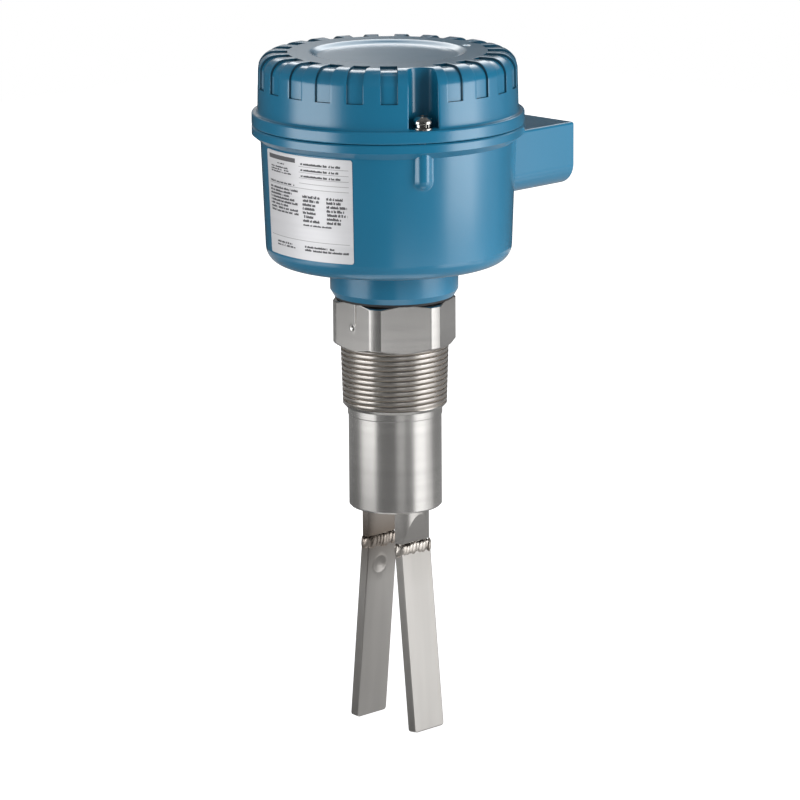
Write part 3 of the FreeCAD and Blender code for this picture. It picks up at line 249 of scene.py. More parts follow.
def wire(tree, made, values):
    """Link a node's inputs to sockets, or set them to values."""
    for key, value in values.items():
        if isinstance(value, bpy.types.NodeSocket):
            tree.links.new(value, made.inputs[key])
        else:
            made.inputs[key].default_value = value


def node(tree, kind, values=None, **settings):
    """A node with its settings, its unlinked values and its links."""
    made = tree.nodes.new(kind)
    for key, value in settings.items():
        setattr(made, key, value)
    wire(tree, made, values or {})
    return made


def math_node(tree, operation, *values, clamp=False):
    return node(tree, "ShaderNodeMath", dict(enumerate(values)), operation=operation, use_clamp=clamp).outputs[0]


def noise(tree, vector, scale, detail, roughness=0.5):
    return node(tree, "ShaderNodeTexNoise", {"Vector": vector, "Scale": scale, "Detail": detail,
                                             "Roughness": roughness}).outputs["Fac"]


def shader_group(name, inputs, outputs):
    """An empty shader group. Inputs with a float default are floats, the others vectors; outputs are floats."""
    group = bpy.data.node_groups.new(name, "ShaderNodeTree")
    for label, default in inputs.items():
        kind = "NodeSocketFloat" if isinstance(default, float) else "NodeSocketVector"
        socket = group.interface.new_socket(label, in_out="INPUT", socket_type=kind)
        if default is not None:
            socket.default_value = default
    for label in outputs:
        group.interface.new_socket(label, in_out="OUTPUT", socket_type="NodeSocketFloat")
    return group, group.nodes.new("NodeGroupInput"), group.nodes.new("NodeGroupOutput")


def powder_group():
    """Fine unevenness of a powder coat: height, gloss change and tone change."""
    group, given, result = shader_group("Powder coat", {"Vector": None, "Peel scale": 500.0, "Smudge scale": 26.0},
                                        ("Height", "Gloss", "Tone"))
    vector, peel, smudge = given.outputs[:3]
    wire(group, result, {"Height": noise(group, vector, peel, 3.0, 0.55),
                         "Gloss": noise(group, vector, smudge, 3.0, 0.6), "Tone": noise(group, vector, 9.0, 3.0)})
    return group


def tool_marks_group():
    """Marks that a lathe or a belt leaves: long along two axes, fine along the third."""
    group, given, result = shader_group("Tool marks", {"Vector": None, "Stretch": (12.0, 12.0, 2600.0), "Wave": 0.35},
                                        ("Height", "Tone"))
    vector, stretch, wave = given.outputs[:3]
    stretched = node(group, "ShaderNodeVectorMath", {0: vector, 1: stretch}, operation="MULTIPLY").outputs[0]
    coarse = noise(group, stretched, 0.3, 2.0, 0.55)
    wire(group, result, {"Height": math_node(group, "MULTIPLY_ADD", coarse, wave, noise(group, stretched, 1.0, 2.0)),
                         "Tone": coarse})
    return group


def mottle_group():
    """Cloudy tone and speckle of plastic, rubber and ceramic."""
    group, given, result = shader_group("Mottle", {"Vector": None, "Scale": 900.0}, ("Height", "Tone"))
    vector, scale = given.outputs[:2]
    wire(group, result, {"Height": noise(group, vector, scale, 2.0), "Tone": noise(group, vector, 45.0, 5.0)})
    return group


def placed(tree, name, build, values):
    """The outputs of a shared shader group, which is built at its first use."""
    return node(tree, "ShaderNodeGroup", values, node_tree=bpy.data.node_groups.get(name) or build()).outputs


def blank_material(name):
    """A material with its tree, its surface shader and its Object coordinates."""
    material = bpy.data.materials.new(name)
    material.use_nodes = True
    tree = material.node_tree
    return material, tree, tree.nodes["Principled BSDF"], tree.nodes.new("ShaderNodeTexCoord").outputs["Object"]


def mixed(tree, share, low, high):
    """A colour between two sockets or values, by a share."""
    ends = {index: end if isinstance(end, bpy.types.NodeSocket) else (*end, 1.0)
            for index, end in ((6, low), (7, high))}
    return node(tree, "ShaderNodeMix", {0: share, **ends}, data_type="RGBA").outputs[2]


def ranged(tree, value, from_low, from_high, to_low, to_high):
    return node(tree, "ShaderNodeMapRange",
                {0: value, 1: from_low, 2: from_high, 3: to_low, 4: to_high}).outputs[0]


def bumped(tree, surface, height, strength, distance):
    bump = node(tree, "ShaderNodeBump", {"Height": height, "Strength": strength, "Distance": distance})
    tree.links.new(bump.outputs[0], surface.inputs["Normal"])


def scaled(colour, factor):
    return tuple(min(1.0, channel * factor) for channel in colour)


def toned(tree, tone, colour, darker, lighter):
    """Colour that follows a tone from a darker to a lighter share of itself."""
    return mixed(tree, ranged(tree, tone, 0.3, 0.7, 0.0, 1.0), scaled(colour, darker), scaled(colour, lighter))


def shade_of(tree):
    """The piece's shade attribute, 0 where it has none."""
    return node(tree, "ShaderNodeAttribute", attribute_name="shade").outputs["Fac"]


def shaded(tree, colour, dark, strength):
    """Colour turned towards dark where the piece's shade attribute says so; this is painted shade, except for the
    thread's even warm tint.
    """
    return mixed(tree, math_node(tree, "MULTIPLY", shade_of(tree), strength, clamp=True), colour, dark)


def split(tree, vector, axis):
    """One coordinate of a vector."""
    return node(tree, "ShaderNodeSeparateXYZ", {0: vector}).outputs[axis]


def distance_from(tree, height, level):
    """How far a height is from a level in millimetres."""
    return math_node(tree, "ABSOLUTE", math_node(tree, "SUBTRACT", height, level * MM))


def rear_share(tree, where):
    """The rear tine ran hotter at its weld: 1 there, less at the front tine."""
    return ranged(tree, split(tree, where, 1), -6.0 * MM, 8.0 * MM, 0.25, 1.0)


def paint_material(name, colour):
    """Semi-gloss powder coat on a casting, with painted shade in the corners of its recesses and in the lock screw's
    pocket.
    """
    material, tree, surface, where = blank_material(name)
    coat = placed(tree, "Powder coat", powder_group, {"Vector": where})
    wire(tree, surface, {
        "Base Color": shaded(tree, toned(tree, coat["Tone"], colour, 0.90, 1.10), scaled(colour, 0.2), 0.85),
        "Roughness": ranged(tree, coat["Gloss"], 0.25, 0.75, 0.28, 0.36),
        "Specular IOR Level": 0.3, "Coat Weight": 1.0, "Coat Roughness": 0.16})
    bumped(tree, surface, coat["Height"], 0.10, 0.00008)
    return material


# the first colour is painted shade in grooves, warm brown so that it also tints the whole thread; the second is heat
# tint
GROOVE_SHADE_BROWN, HEAT_BROWN = (0.35, 0.265, 0.185), (0.13, 0.105, 0.085)
WELD_SILVER, WELD_BROWN = (0.62, 0.59, 0.55), (0.37, 0.315, 0.27)
PRINT_INK = (0.05, 0.05, 0.055)


def metal_material(name, colour, roughness, stretch, depth, tone_change=0.12, heat=None):
    """Metal with the marks of its machining, with painted shade in its grooves and a warm brown tint where the piece's
    shade attribute says so.

    Heat is a weld's height, how far from it the metal is browned, how strongly, and where that ends above.
    """
    material, tree, surface, where = blank_material(name)
    marks = placed(tree, "Tool marks", tool_marks_group, {"Vector": where, "Stretch": stretch})
    coat = placed(tree, "Powder coat", powder_group, {"Vector": where, "Smudge scale": 55.0})
    metal = shaded(tree, toned(tree, marks["Tone"], colour, 1.0 - tone_change, 1.0 + tone_change), GROOVE_SHADE_BROWN, 0.6)
    if heat is not None:
        level, reach, strength, above = heat
        height = split(tree, where, 2)
        browned = ranged(tree, distance_from(tree, height, level), 0.0, reach * MM, strength, 0.0)
        below = ranged(tree, height, (above - 0.6) * MM, (above - 0.1) * MM, 1.0, 0.0)
        for share in (rear_share(tree, where), below):
            browned = math_node(tree, "MULTIPLY", browned, share)
        metal = mixed(tree, browned, metal, HEAT_BROWN)
    polish = ranged(tree, coat["Gloss"], 0.25, 0.75, roughness - 0.02, roughness + 0.03)
    rough = ranged(tree, shade_of(tree), 0.3, 1.0, 0.0, 0.45)
    wire(tree, surface, {"Base Color": metal, "Roughness": math_node(tree, "ADD", rough, polish), "Metallic": 1.0})
    bumped(tree, surface, marks["Height"], 0.15, depth)
    return material


def plain_material(name, colour, roughness, speckle_scale=900.0, depth=0.00002):
    """Plastic, rubber or ceramic."""
    material, tree, surface, where = blank_material(name)
    speckle = placed(tree, "Mottle", mottle_group, {"Vector": where, "Scale": speckle_scale})
    wire(tree, surface, {
        "Base Color": toned(tree, speckle["Tone"], colour, 0.88, 1.12),
        "Roughness": ranged(tree, speckle["Tone"], 0.3, 0.7, roughness - 0.05, roughness + 0.05)})
    bumped(tree, surface, speckle["Height"], 0.3, depth)
    return material


def weld_material():
    """Smooth weld metal, silver on its crown and browned by heat at its edges."""
    material, tree, surface, where = blank_material("weld_metal")
    speckle = placed(tree, "Mottle", mottle_group, {"Vector": where, "Scale": 700.0})
    from_crown = distance_from(tree, split(tree, where, 2), WELD_LEVEL)
    heat = math_node(tree, "ADD", ranged(tree, speckle["Tone"], 0.35, 0.65, 0.0, 0.35),
                     ranged(tree, from_crown, 0.0017, 0.0031, 0.0, 0.65), clamp=True)
    heat = math_node(tree, "MULTIPLY_ADD", rear_share(tree, where), 0.5, heat, clamp=True)
    wire(tree, surface, {"Base Color": mixed(tree, heat, WELD_SILVER, WELD_BROWN),
                         "Roughness": ranged(tree, speckle["Height"], 0.3, 0.7, 0.30, 0.42), "Metallic": 1.0})
    bumped(tree, surface, speckle["Height"], 0.3, 0.00004)
    return material


def print_rows_group():
    """Rows of short strokes inside a box of the plate, as a mask."""
    group, given, result = shader_group(
        "Print rows", {"U": 0.0, "V": 0.0, "Left": 0.0, "Right": 1.0, "Low": 0.0, "High": 1.0, "Rows": 6.0,
                       "Fill": 0.6, "Height": 0.5}, ("Mask",))
    u, v, left, right, low, high, rows, filled, tall = given.outputs[:9]

    def op(kind, *values):
        return math_node(group, kind, *values)

    def random_of(*seeds):
        seed = node(group, "ShaderNodeCombineXYZ", dict(enumerate(seeds))).outputs[0]
        return node(group, "ShaderNodeTexWhiteNoise", {"Vector": seed}, noise_dimensions="3D").outputs["Value"]

    across = op("DIVIDE", op("SUBTRACT", u, left), op("SUBTRACT", right, left))
    up = op("MULTIPLY", op("DIVIDE", op("SUBTRACT", v, low), op("SUBTRACT", high, low)), rows)
    row = op("FLOOR", up)
    inside = op("MULTIPLY", op("COMPARE", across, 0.5, 0.5), op("COMPARE", op("DIVIDE", up, rows), 0.5, 0.5))
    short = op("LESS_THAN", across, op("MULTIPLY_ADD", random_of(row, left, low), 0.5, 0.62))
    stroke = random_of(op("FLOOR", op("MULTIPLY", u, 128.0)), row, left)
    own_height = op("MULTIPLY_ADD", op("FRACT", op("MULTIPLY", stroke, 37.0)), 0.45, 0.6)
    band = op("LESS_THAN", op("FRACT", up), op("MULTIPLY", tall, own_height))
    inked = op("LESS_THAN", stroke, filled)
    wire(group, result, {"Mask": op("MULTIPLY", op("MULTIPLY", inside, band), op("MULTIPLY", short, inked))})
    return group


PRINTED = (
    # left, right, low, high, rows, share of strokes, stroke height
    (0.05, 0.44, 0.925, 0.968, 1, 1.0, 1.60), (0.19, 0.33, 0.885, 0.902, 1, 0.85, 0.90),
    (0.08, 0.45, 0.80, 0.872, 3, 0.88, 0.70), (0.50, 0.94, 0.915, 0.942, 1, 0.85, 0.90),
    (0.50, 0.88, 0.858, 0.883, 1, 0.85, 0.90), (0.50, 0.90, 0.800, 0.825, 1, 0.85, 0.90),
    (0.05, 0.48, 0.70, 0.722, 1, 0.85, 0.90), (0.05, 0.46, 0.42, 0.675, 8, 0.88, 0.72),
    (0.51, 0.70, 0.37, 0.64, 7, 0.88, 0.74), (0.76, 0.97, 0.37, 0.64, 7, 0.88, 0.74),
    (0.51, 0.86, 0.332, 0.352, 1, 0.85, 0.90), (0.14, 0.48, 0.092, 0.150, 2, 0.86, 0.70),
    (0.52, 0.96, 0.088, 0.150, 2, 0.86, 0.70),
)
RULES = ((0.48, 0.97, 0.90), (0.48, 0.97, 0.845), (0.48, 0.97, 0.79), (0.48, 0.97, 0.74),
         (0.04, 0.97, 0.69), (0.04, 0.97, 0.185))    # left, right, height


def plate_material(colour):
    """Silvery foil plate with generic rows of small print and thin rules, laid out on its UV map."""
    material, tree, surface, where = blank_material("printed_foil")
    flat = node(tree, "ShaderNodeUVMap", uv_map="plate").outputs[0]
    u, v = node(tree, "ShaderNodeSeparateXYZ", {0: flat}).outputs[:2]
    ink = None
    for left, right, low, high, rows, filled, tall in PRINTED:
        block = placed(tree, "Print rows", print_rows_group,
                       {"U": u, "V": v, "Left": left, "Right": right, "Low": low, "High": high,
                        "Rows": float(rows), "Fill": filled, "Height": tall})[0]
        ink = block if ink is None else math_node(tree, "MAXIMUM", ink, block)
    ink = math_node(tree, "MULTIPLY", ink, 0.92)
    for left, right, height in RULES:
        middle = (left + right) / 2
        line = math_node(tree, "MULTIPLY", math_node(tree, "COMPARE", u, middle, right - middle),
                         math_node(tree, "COMPARE", v, height, 0.0028))
        ink = math_node(tree, "MAXIMUM", ink, math_node(tree, "MULTIPLY", line, 0.55))
    marks = placed(tree, "Tool marks", tool_marks_group, {"Vector": where, "Stretch": (60.0, 60.0, 900.0)})
    foil = toned(tree, marks["Tone"], colour, 0.95, 1.04)
    wire(tree, surface, {"Base Color": mixed(tree, ink, foil, PRINT_INK),
                         "Roughness": ranged(tree, ink, 0.0, 1.0, 0.42, 0.6), "Metallic": 0.25})
    bumped(tree, surface, marks["Height"], 0.15, 0.00002)
    return material


PLAIN_FINISHES = {
    # record slot: material name, colour, roughness, then speckle scale and depth where they differ
    "black_rubber": ("black_rubber", (0.016, 0.016, 0.017), 0.62, 1300.0, 0.00005),
    "lead_insulation": ("red_insulation", (0.36, 0.025, 0.018), 0.45),
    "dark_plastic": ("dark_moulding", (0.028, 0.028, 0.031), 0.42, 1500.0, 0.00003),
    "board_laminate": ("green_laminate", (0.012, 0.11, 0.036), 0.33, 500.0, 0.00001),
    "black_component": ("black_moulding", (0.02, 0.02, 0.022), 0.36, 1100.0, 0.00003),
    "terminal_plastic": ("terminal_green", (0.03, 0.17, 0.06), 0.4),
    "lamp_lens": ("amber_lens", (0.62, 0.36, 0.04), 0.2, 400.0, 0.00001),
    "grey_plastic": ("grey_moulding", (0.19, 0.195, 0.205), 0.46, 1400.0, 0.00004),
    "knob_plastic": ("pale_knob", (0.62, 0.62, 0.58), 0.38),
    "ceramic": ("fired_ceramic", (0.52, 0.47, 0.38), 0.5, 800.0, 0.00003),
}
LATHE_MARKS, BELT_MARKS = (10.0, 10.0, 800.0), (520.0, 520.0, 18.0)


def make_materials():
    """Every finish by the record's slot name, made once."""
    look = bpy.context.scene.switch_finishes
    steel, blade = tuple(look.steel), tuple(look.blade)
    made = {slot: plain_material(*values) for slot, values in PLAIN_FINISHES.items()}
    made.update({
        "blue_paint": paint_material("semi_gloss_blue", tuple(look.paint)),
        "machined_steel": metal_material("turned_steel", steel, 0.24, LATHE_MARKS, 0.000005, 0.05),
        "stub_steel": metal_material("heat_tinted_steel", steel, 0.24, LATHE_MARKS, 0.000005, 0.05,
                                     (STUB_END_Z, 40.0, 0.95, STUB_TOP_Z)),
        "blade_steel": metal_material("satin_blade_steel", blade, 0.3, BELT_MARKS, 0.000005, 0.04,
                                      (STUB_END_Z - WELD_HIGH, 16.0, 0.6, STUB_TOP_Z)),
        "screw_steel": metal_material("bright_screw_steel", (0.55, 0.53, 0.50), 0.2, (400.0, 400.0, 1500.0), 0.00001),
        "nickel_brass": metal_material("nickel_plate", (0.58, 0.55, 0.47), 0.22, (300.0, 300.0, 900.0), 0.00001),
        "plate_foil": plate_material(tuple(look.foil)),
        "weld": weld_material(),
    })
    return made


MATERIALS = {}


def finish(slot):
    """The finish of a record slot."""
    if not MATERIALS:
        MATERIALS.update(make_materials())
    return MATERIALS[slot]


# Pieces, with sizes in millimetres and turns in degrees

LID_RIM, LID_WALL, LID_SHOULDER = 60.0, 57.4, 57.0
LID_LOW, LID_LEDGE, LID_TOP, LID_CEILING = 99.5, 105.0, 131.0, 126.2
LEDGE_ROUND = 0.9
LOCK_TURN, LOCK_ORBIT = 240.6, 55.0
POCKET_BACK, POCKET_CORNER, POCKET_EDGE = 49.6, 5.4, 0.6
# painted shade inside the lock screw's pocket
POCKET_SHADE = 0.42
NO_POCKET = 99.0             # a pocket depth outside the lid
RECESS_IN, RECESS_LOW = 44.0, 116.4
DISH_DEPTH = 1.6
PIP_ORBIT, PIP_TURN, PIP_RADIUS, PIP_DEPTH = 37.8, 337.6, 2.3, 0.75
RECESS_END = ((-0.15, 0.0), (-0.08, 0.04), (0.06, 1.0))    # along the radius: share of the depth
LEDGE = ((-0.08, 0.0), (0.04, 1.0))                        # along the height
# offset outward from a recess's edge in millimetres, and how much of the depth is left there
EDGE_STEPS = ((-0.17, 1.0), (-0.14, 0.94), (0.05, 0.10), (0.11, 0.03), (0.19, 0.0))


def lid_columns(sizes):
    """Columns of the lid: turn, sideways offset, recess share, pocket depth and, on a land, where it ends."""
    half = sizes.recess_width / MM / 2
    pocket = sizes.pocket_width / MM / 2
    count = sizes.recess_count
    step = 360.0 / count
    columns = []
    for index in range(count):
        turn = LOCK_TURN + index * step
        if index == 0:
            side = [(0.0, POCKET_BACK)]
            for bend in np.radians((0, 14, 28, 42, 55, 66, 75, 82, 87, 90)):
                side.append((pocket - POCKET_CORNER + POCKET_CORNER * math.sin(bend),
                             POCKET_BACK + POCKET_CORNER * (1 - math.cos(bend))))
            side += [(pocket + 0.01, POCKET_BACK + POCKET_CORNER + 0.55),
                     (pocket + 0.03, POCKET_BACK + POCKET_CORNER + 1.05), (pocket + 0.10, 56.45),
                     (pocket + 0.28, 56.8), (pocket + POCKET_EDGE, NO_POCKET)]
            edge = side[-1][0]
            columns += [(turn, y, 0.0, x, None) for y, x in [(-y, x) for y, x in reversed(side[1:])] + side]
        else:
            edge = half + EDGE_STEPS[-1][0]
            inner = half + EDGE_STEPS[0][0]
            own = [(-(half + e), share) for e, share in reversed(EDGE_STEPS)]
            own += [(inner * f, 1.0) for f in (-0.66, -0.33, 0.0, 0.33, 0.66)]
            own += [(half + e, share) for e, share in EDGE_STEPS]
            columns += [(turn, y, share, NO_POCKET, None) for y, share in own]
        next_edge = pocket + POCKET_EDGE if index == count - 1 else half + EDGE_STEPS[-1][0]
        columns += [(turn, edge, 0.0, NO_POCKET, (turn + step, next_edge, part / 7)) for part in range(1, 7)]
    return columns


def make_lid(sizes):
    """Castellated lid with its pocket, dish, pip, skirt and hollow, as one closed grid."""
    shoulder = sizes.shoulder / MM
    depth, depth_top = sizes.recess_depth / MM, sizes.recess_top / MM
    bend_radius, bend_height = LID_SHOULDER - shoulder, LID_TOP - shoulder
    dish_floor = LID_TOP - DISH_DEPTH
    # each row: radius, height and the way it faces, which is none where no recess reaches
    rows = [(radius, dish_floor, 0, 1) for radius in (3.0, 8.0, 14.0, 20.0, 25.0, 29.5)]
    rows += [(sizes.dish_radius / MM - 4.6 + 5.0 * share,
              dish_floor + DISH_DEPTH * float(smoothstep(0.04, 0.96, share)), 0, 1) for share in np.linspace(0, 1, 12)]
    rows += [(radius, LID_TOP, 0, 1) for radius in
             (*np.linspace(35.6, 40.0, 12), 40.6, 41.6, 42.8, 43.4, 43.7, 43.85, 43.92, 44.06, 44.2, 44.5, 44.9, 45.8,
              46.9, 48.0, 49.0)]
    rows += [(bend_radius + shoulder * math.cos(angle), bend_height + shoulder * math.sin(angle), math.cos(angle),
              math.sin(angle)) for angle in np.radians(np.linspace(90, 0, 21))]
    slope = (LID_WALL - LID_SHOULDER) / (bend_height - LID_LEDGE)
    rows += [(LID_SHOULDER + slope * (bend_height - height), height, 1, 0) for height in
             (122.3, 120.9, 119.6, 118.4, 117.5, 117.0, 116.75, 116.55, 116.44, 116.32, 116.2, 115.9, 115.4, 114.6,
              112.4, 109.8, 107.4)]
    rows += [(LID_WALL + LEDGE_ROUND * (1 + math.cos(angle)), LID_LEDGE + LEDGE_ROUND * (1 + math.sin(angle)), 0, 0)
             for angle in np.radians(np.linspace(180, 270, 5))]
    outside = len(rows)
    under = rounded([(LID_WALL + LEDGE_ROUND, LID_LEDGE), (LID_RIM, LID_LEDGE, 0.75), (LID_RIM, LID_LOW, 0.6),
                     (51.0, LID_LOW, 0.3), (51.0, 98.4, 0.15), (48.5, 98.4, 0.2), (48.5, 95.8, 0.2),
                     (51.0, 95.8, 0.2), (51.0, 91.1, 0.6), (46.6, 91.1, 0.5), (46.6, LID_CEILING, 6.0),
                     (2.0, LID_CEILING)], 4)
    rows = np.array(rows + [(radius, height, 0, 0) for radius, height in under[1:]], float)
    radius, height, outward, upward = (rows[:, index:index + 1] for index in range(4))
    turn, offset, share, pocket_x, lands = zip(*lid_columns(sizes))
    turn, share, pocket_x = np.radians(turn), np.array(share), np.array(pocket_x)
    reach = np.maximum(radius, 42.0)
    angle = turn + np.arcsin(np.clip(np.array(offset) / reach, -1, 1))
    for index, land in enumerate(lands):
        if land:
            following, next_edge, part = land
            end = math.radians(following) - np.arcsin(next_edge / reach[:, 0])
            angle[:, index] += (end - angle[:, index]) * part
    # how deep the recesses are on each row, and which rows and columns are their walls
    top_rows = upward > 0.999
    span = np.where(top_rows, np.interp(radius - RECESS_IN, *zip(*RECESS_END)),
                    np.interp(height - RECESS_LOW, *zip(*LEDGE)))
    span = np.where((outward + upward > 0) & (radius > RECESS_IN - 1), span, 0.0)
    sunk = (depth + (depth_top - depth) * smoothstep(0.1, 0.9, upward)) * span * share
    wall_rows = (np.abs(height - RECESS_LOW) < 0.1) & (outward > 0.999)
    wall_rows |= top_rows & (np.abs(radius - RECESS_IN) < 0.1)
    # the shade attribute is painted shade on the recesses' side walls, ledges and inner ends
    shade = np.maximum(span * ((share > 0.05) & (share < 0.97)), wall_rows * (share > 0.05))
    moved_radius, moved_height = radius - sunk * outward, height - sunk * upward
    # the pocket cuts the rows off at its own outline, with a soft edge, and its inside gets painted shade
    local = angle - math.radians(LOCK_TURN)
    ahead, aside = moved_radius * np.cos(local), moved_radius * np.sin(local)
    row = np.arange(len(rows))[:, None]
    in_pocket = (np.abs(local) < math.radians(10)) & (row < outside - 3)
    held, cut_off = held_under(ahead, pocket_x, 0.5)
    ahead = np.where(in_pocket & (pocket_x < NO_POCKET), held, ahead)
    shade = np.where(in_pocket & (cut_off > 0.8), POCKET_SHADE, shade)
    pip = np.hypot(moved_radius * np.cos(angle) - PIP_ORBIT * math.cos(math.radians(PIP_TURN)),
                   moved_radius * np.sin(angle) - PIP_ORBIT * math.sin(math.radians(PIP_TURN)))
    on_top = (row < outside) & (height > LID_TOP - 0.01)
    moved_height = moved_height - np.where(on_top, PIP_DEPTH * smoothstep(0, 1, 1 - pip / PIP_RADIUS), 0.0)
    grid = around(POT_X, np.hypot(ahead, aside), np.arctan2(aside, ahead) + math.radians(LOCK_TURN), moved_height)
    lid = lofted("castellated_lid", grid, finish("blue_paint"), poles=True, smooth_angle=44, shade=shade)
    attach(lid, "lid")
    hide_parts("lid")


HEX_TURN, HEX_TALL = 57.0, 21.2
THREAD_TOP, THREAD_LONG, TAPER = 24.1, 27.0, 32.0
THREAD_ROWS = (0.0, 0.03, 0.10, 0.17, 0.20, 0.28, 0.42, 0.58, 0.72, 0.80, 0.83, 0.90, 0.97)
# distance from a crest and depth of the thread there, both as shares
THREAD_WAVE = ((0.0, 0.0), (0.16, 0.01), (0.44, 0.05), (0.60, 0.14), (0.66, 0.24), (0.8, 0.62), (0.94, 0.96),
               (1.0, 1.0))
MARK_TURN, MARK_LEVEL = 177.0, 10.0


def make_connection(sizes):
    """Hexagon, taper thread, ring and spigot with the bore, as one closed grid."""
    flats, corners = sizes.flats / MM / 2, sizes.corners / MM / 2
    pitch, groove = sizes.pitch / MM, sizes.groove / MM
    boundary = math.degrees(math.acos(flats / corners))
    angles = []
    for side in range(6):
        offsets = [*np.linspace(-boundary + 0.6, boundary - 0.6, 33), 30.0]
        offsets += [sign * (boundary + e) for sign in (-1, 1) for e in (-0.25, 0.0, 0.25, 0.9)]
        if side == 2:        # finer columns for the punched dot and the scribed line
            offsets = [o for o in offsets if abs(o) > 3.6] + list(np.linspace(-3.4, 3.4, 23))
            offsets += [4.4, 4.7, 4.9, 5.05, 5.2, 5.4, 5.7]
        angles += [(HEX_TURN + 60.0 * side + o) % 360 for o in offsets]
    angle = np.radians(np.array(sorted(set(np.round(angles, 4)))))
    # each row: radius, height and kind, which is 1 on the hexagon, 2 on the thread and 0 elsewhere
    rows = [(*row, 0) for row in rounded([(12.0, 53.5), (19.4, 53.5, 0.3), (20.0, 52.7, 0.3), (20.0, 31.3, 0.2),
                                          (17.6, 31.3, 0.2), (17.6, 28.7, 0.2), (20.0, 28.7, 0.2),
                                          (20.0, HEX_TALL)], 3)]
    rows += [(radius, HEX_TALL, 0) for radius in (22.0, 24.0, 24.9, 25.1)]
    rows += [(corners, height, 1) for height in
             (HEX_TALL, 21.12, 20.95, 20.7, 20.4, 20.1, 19.85, 19.6, 19.2, 18.4, 17.0, 15.5, 14.0, 13.0, 12.4, 12.0,
              11.7, 11.45, *np.linspace(11.2, 9.0, 12), 8.75, 8.5, 8.2, 7.4, 6.0, 4.6, 3.2, 2.2, 1.65, 1.4, 1.15,
              0.85, 0.55, 0.3, 0.1, 0.0)]
    rows += [(radius, 0.0, 0) for radius in (25.05, 24.5, 24.15)]
    heights = [-(turn + place) * pitch for turn in range(int(THREAD_LONG / pitch) + 1) for place in THREAD_ROWS]
    rows += [(THREAD_TOP + height / TAPER, height, 2) for height in heights if 0.1 - THREAD_LONG < height < -0.05]
    rows += [(*row, 0) for row in rounded([(23.25, -THREAD_LONG), (21.85, -28.5, 0.15), (21.15, -28.5, 0.12),
                                           (21.15, -31.9, 0.25), (20.8, -32.0, 0.05), (18.55, -32.0, 0.1),
                                           (18.55, -38.0, 0.3), (12.0, -38.0)], 3)]
    rows = np.array(rows, float)
    radius, height, kind = (rows[:, index:index + 1] for index in range(3))
    # the hexagon's flats run out into its turned corners
    from_flat = (np.degrees(angle) - HEX_TURN + 30.0) % 60.0 - 30.0
    flat_radius = flats / np.cos(np.radians(from_flat))
    edge = np.minimum(height, HEX_TALL - height)
    limit = np.minimum(corners, 25.3 + np.maximum(edge, 0) * math.sqrt(3))
    hexagon = held_under(flat_radius, limit, 0.22)[0]
    from_mark = angle - math.radians(MARK_TURN)
    sideways = flats * np.tan(np.clip(from_mark, -0.5, 0.5))
    near = np.abs(from_mark) < 0.2
    away = np.hypot(sideways, height - MARK_LEVEL)
    dot = 0.34 * smoothstep(0, 1, np.clip(1 - away / 1.3, 0, 1)) * near
    lip = 0.06 * np.exp(-((away - 1.5) / 0.26) ** 2) * near
    scribed = 0.2 * smoothstep(0.28, 0.0, np.abs(sideways - 2.2)) * smoothstep(11.4, 12.4, height) * near
    hexagon = hexagon - dot + lip - scribed
    # the thread climbs by one pitch a turn, except close to its ends
    round_share = ((angle - math.radians(45)) / (2 * math.pi)) % 1.0
    climb = np.interp(round_share, (0.0, 0.975, 1.0), (0.0, 0.975, 0.0))
    height = height + (kind == 2) * climb * pitch * (np.clip(-height / 2.4, 0, 1)
                                                     * np.clip((THREAD_LONG + height) / 2.4, 0, 1))
    fade = smoothstep(-0.1, -1.3, height) * smoothstep(-THREAD_LONG - 0.3, -THREAD_LONG + 0.7, height)
    phase = (height / pitch - round_share) % 1.0
    form = np.interp(np.abs(phase * 2 - 1), *zip(*THREAD_WAVE)) * fade
    threaded = THREAD_TOP + height / TAPER - groove * form
    final = np.where(kind == 1, hexagon, np.where(kind == 2, threaded, radius))
    # the shade attribute gives the whole thread a warm tint and paints shade into its grooves and the scribed line
    piece = lofted("threaded_hexagon", around(0.0, final, angle, height), finish("machined_steel"), closed_rows=True,
                   smooth_angle=32,
                   shade=np.where(kind == 2, 0.3 + 0.7 * smoothstep(0.15, 0.8, form), 4.0 * scribed))
    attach(piece, "root")
    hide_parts("process_connection")


STUB_TOP_Z, STUB_END_Z = -74.0, -89.3
WELD_HIGH = 6.2
WELD_LEVEL = STUB_END_Z - WELD_HIGH / 2      # also the blades' top
BLADE_MIDDLE = 10.5                          # from the fork's middle plane
# signs and first angle of a rectangle's corners
CORNERS = ((-1, -1, 180), (1, -1, 270), (1, 1, 0), (-1, 1, 90))


def rounded_corners(half_wide, half_thick, radius, bends):
    """Points round the four corners of a rectangle, one list for each."""
    arcs = []
    for side_x, side_y, start in CORNERS:
        angle = np.radians(start + np.array(bends, float))
        arcs.append(list(zip(side_x * (half_wide - radius) + radius * np.cos(angle),
                             side_y * (half_thick - radius) + radius * np.sin(angle))))
    return arcs


def drawn_in(radius, distance):
    """How far a rounded edge draws back at a distance from its end."""
    return radius - np.sqrt(np.maximum(radius ** 2 - np.maximum(radius - distance, 0) ** 2, 0))


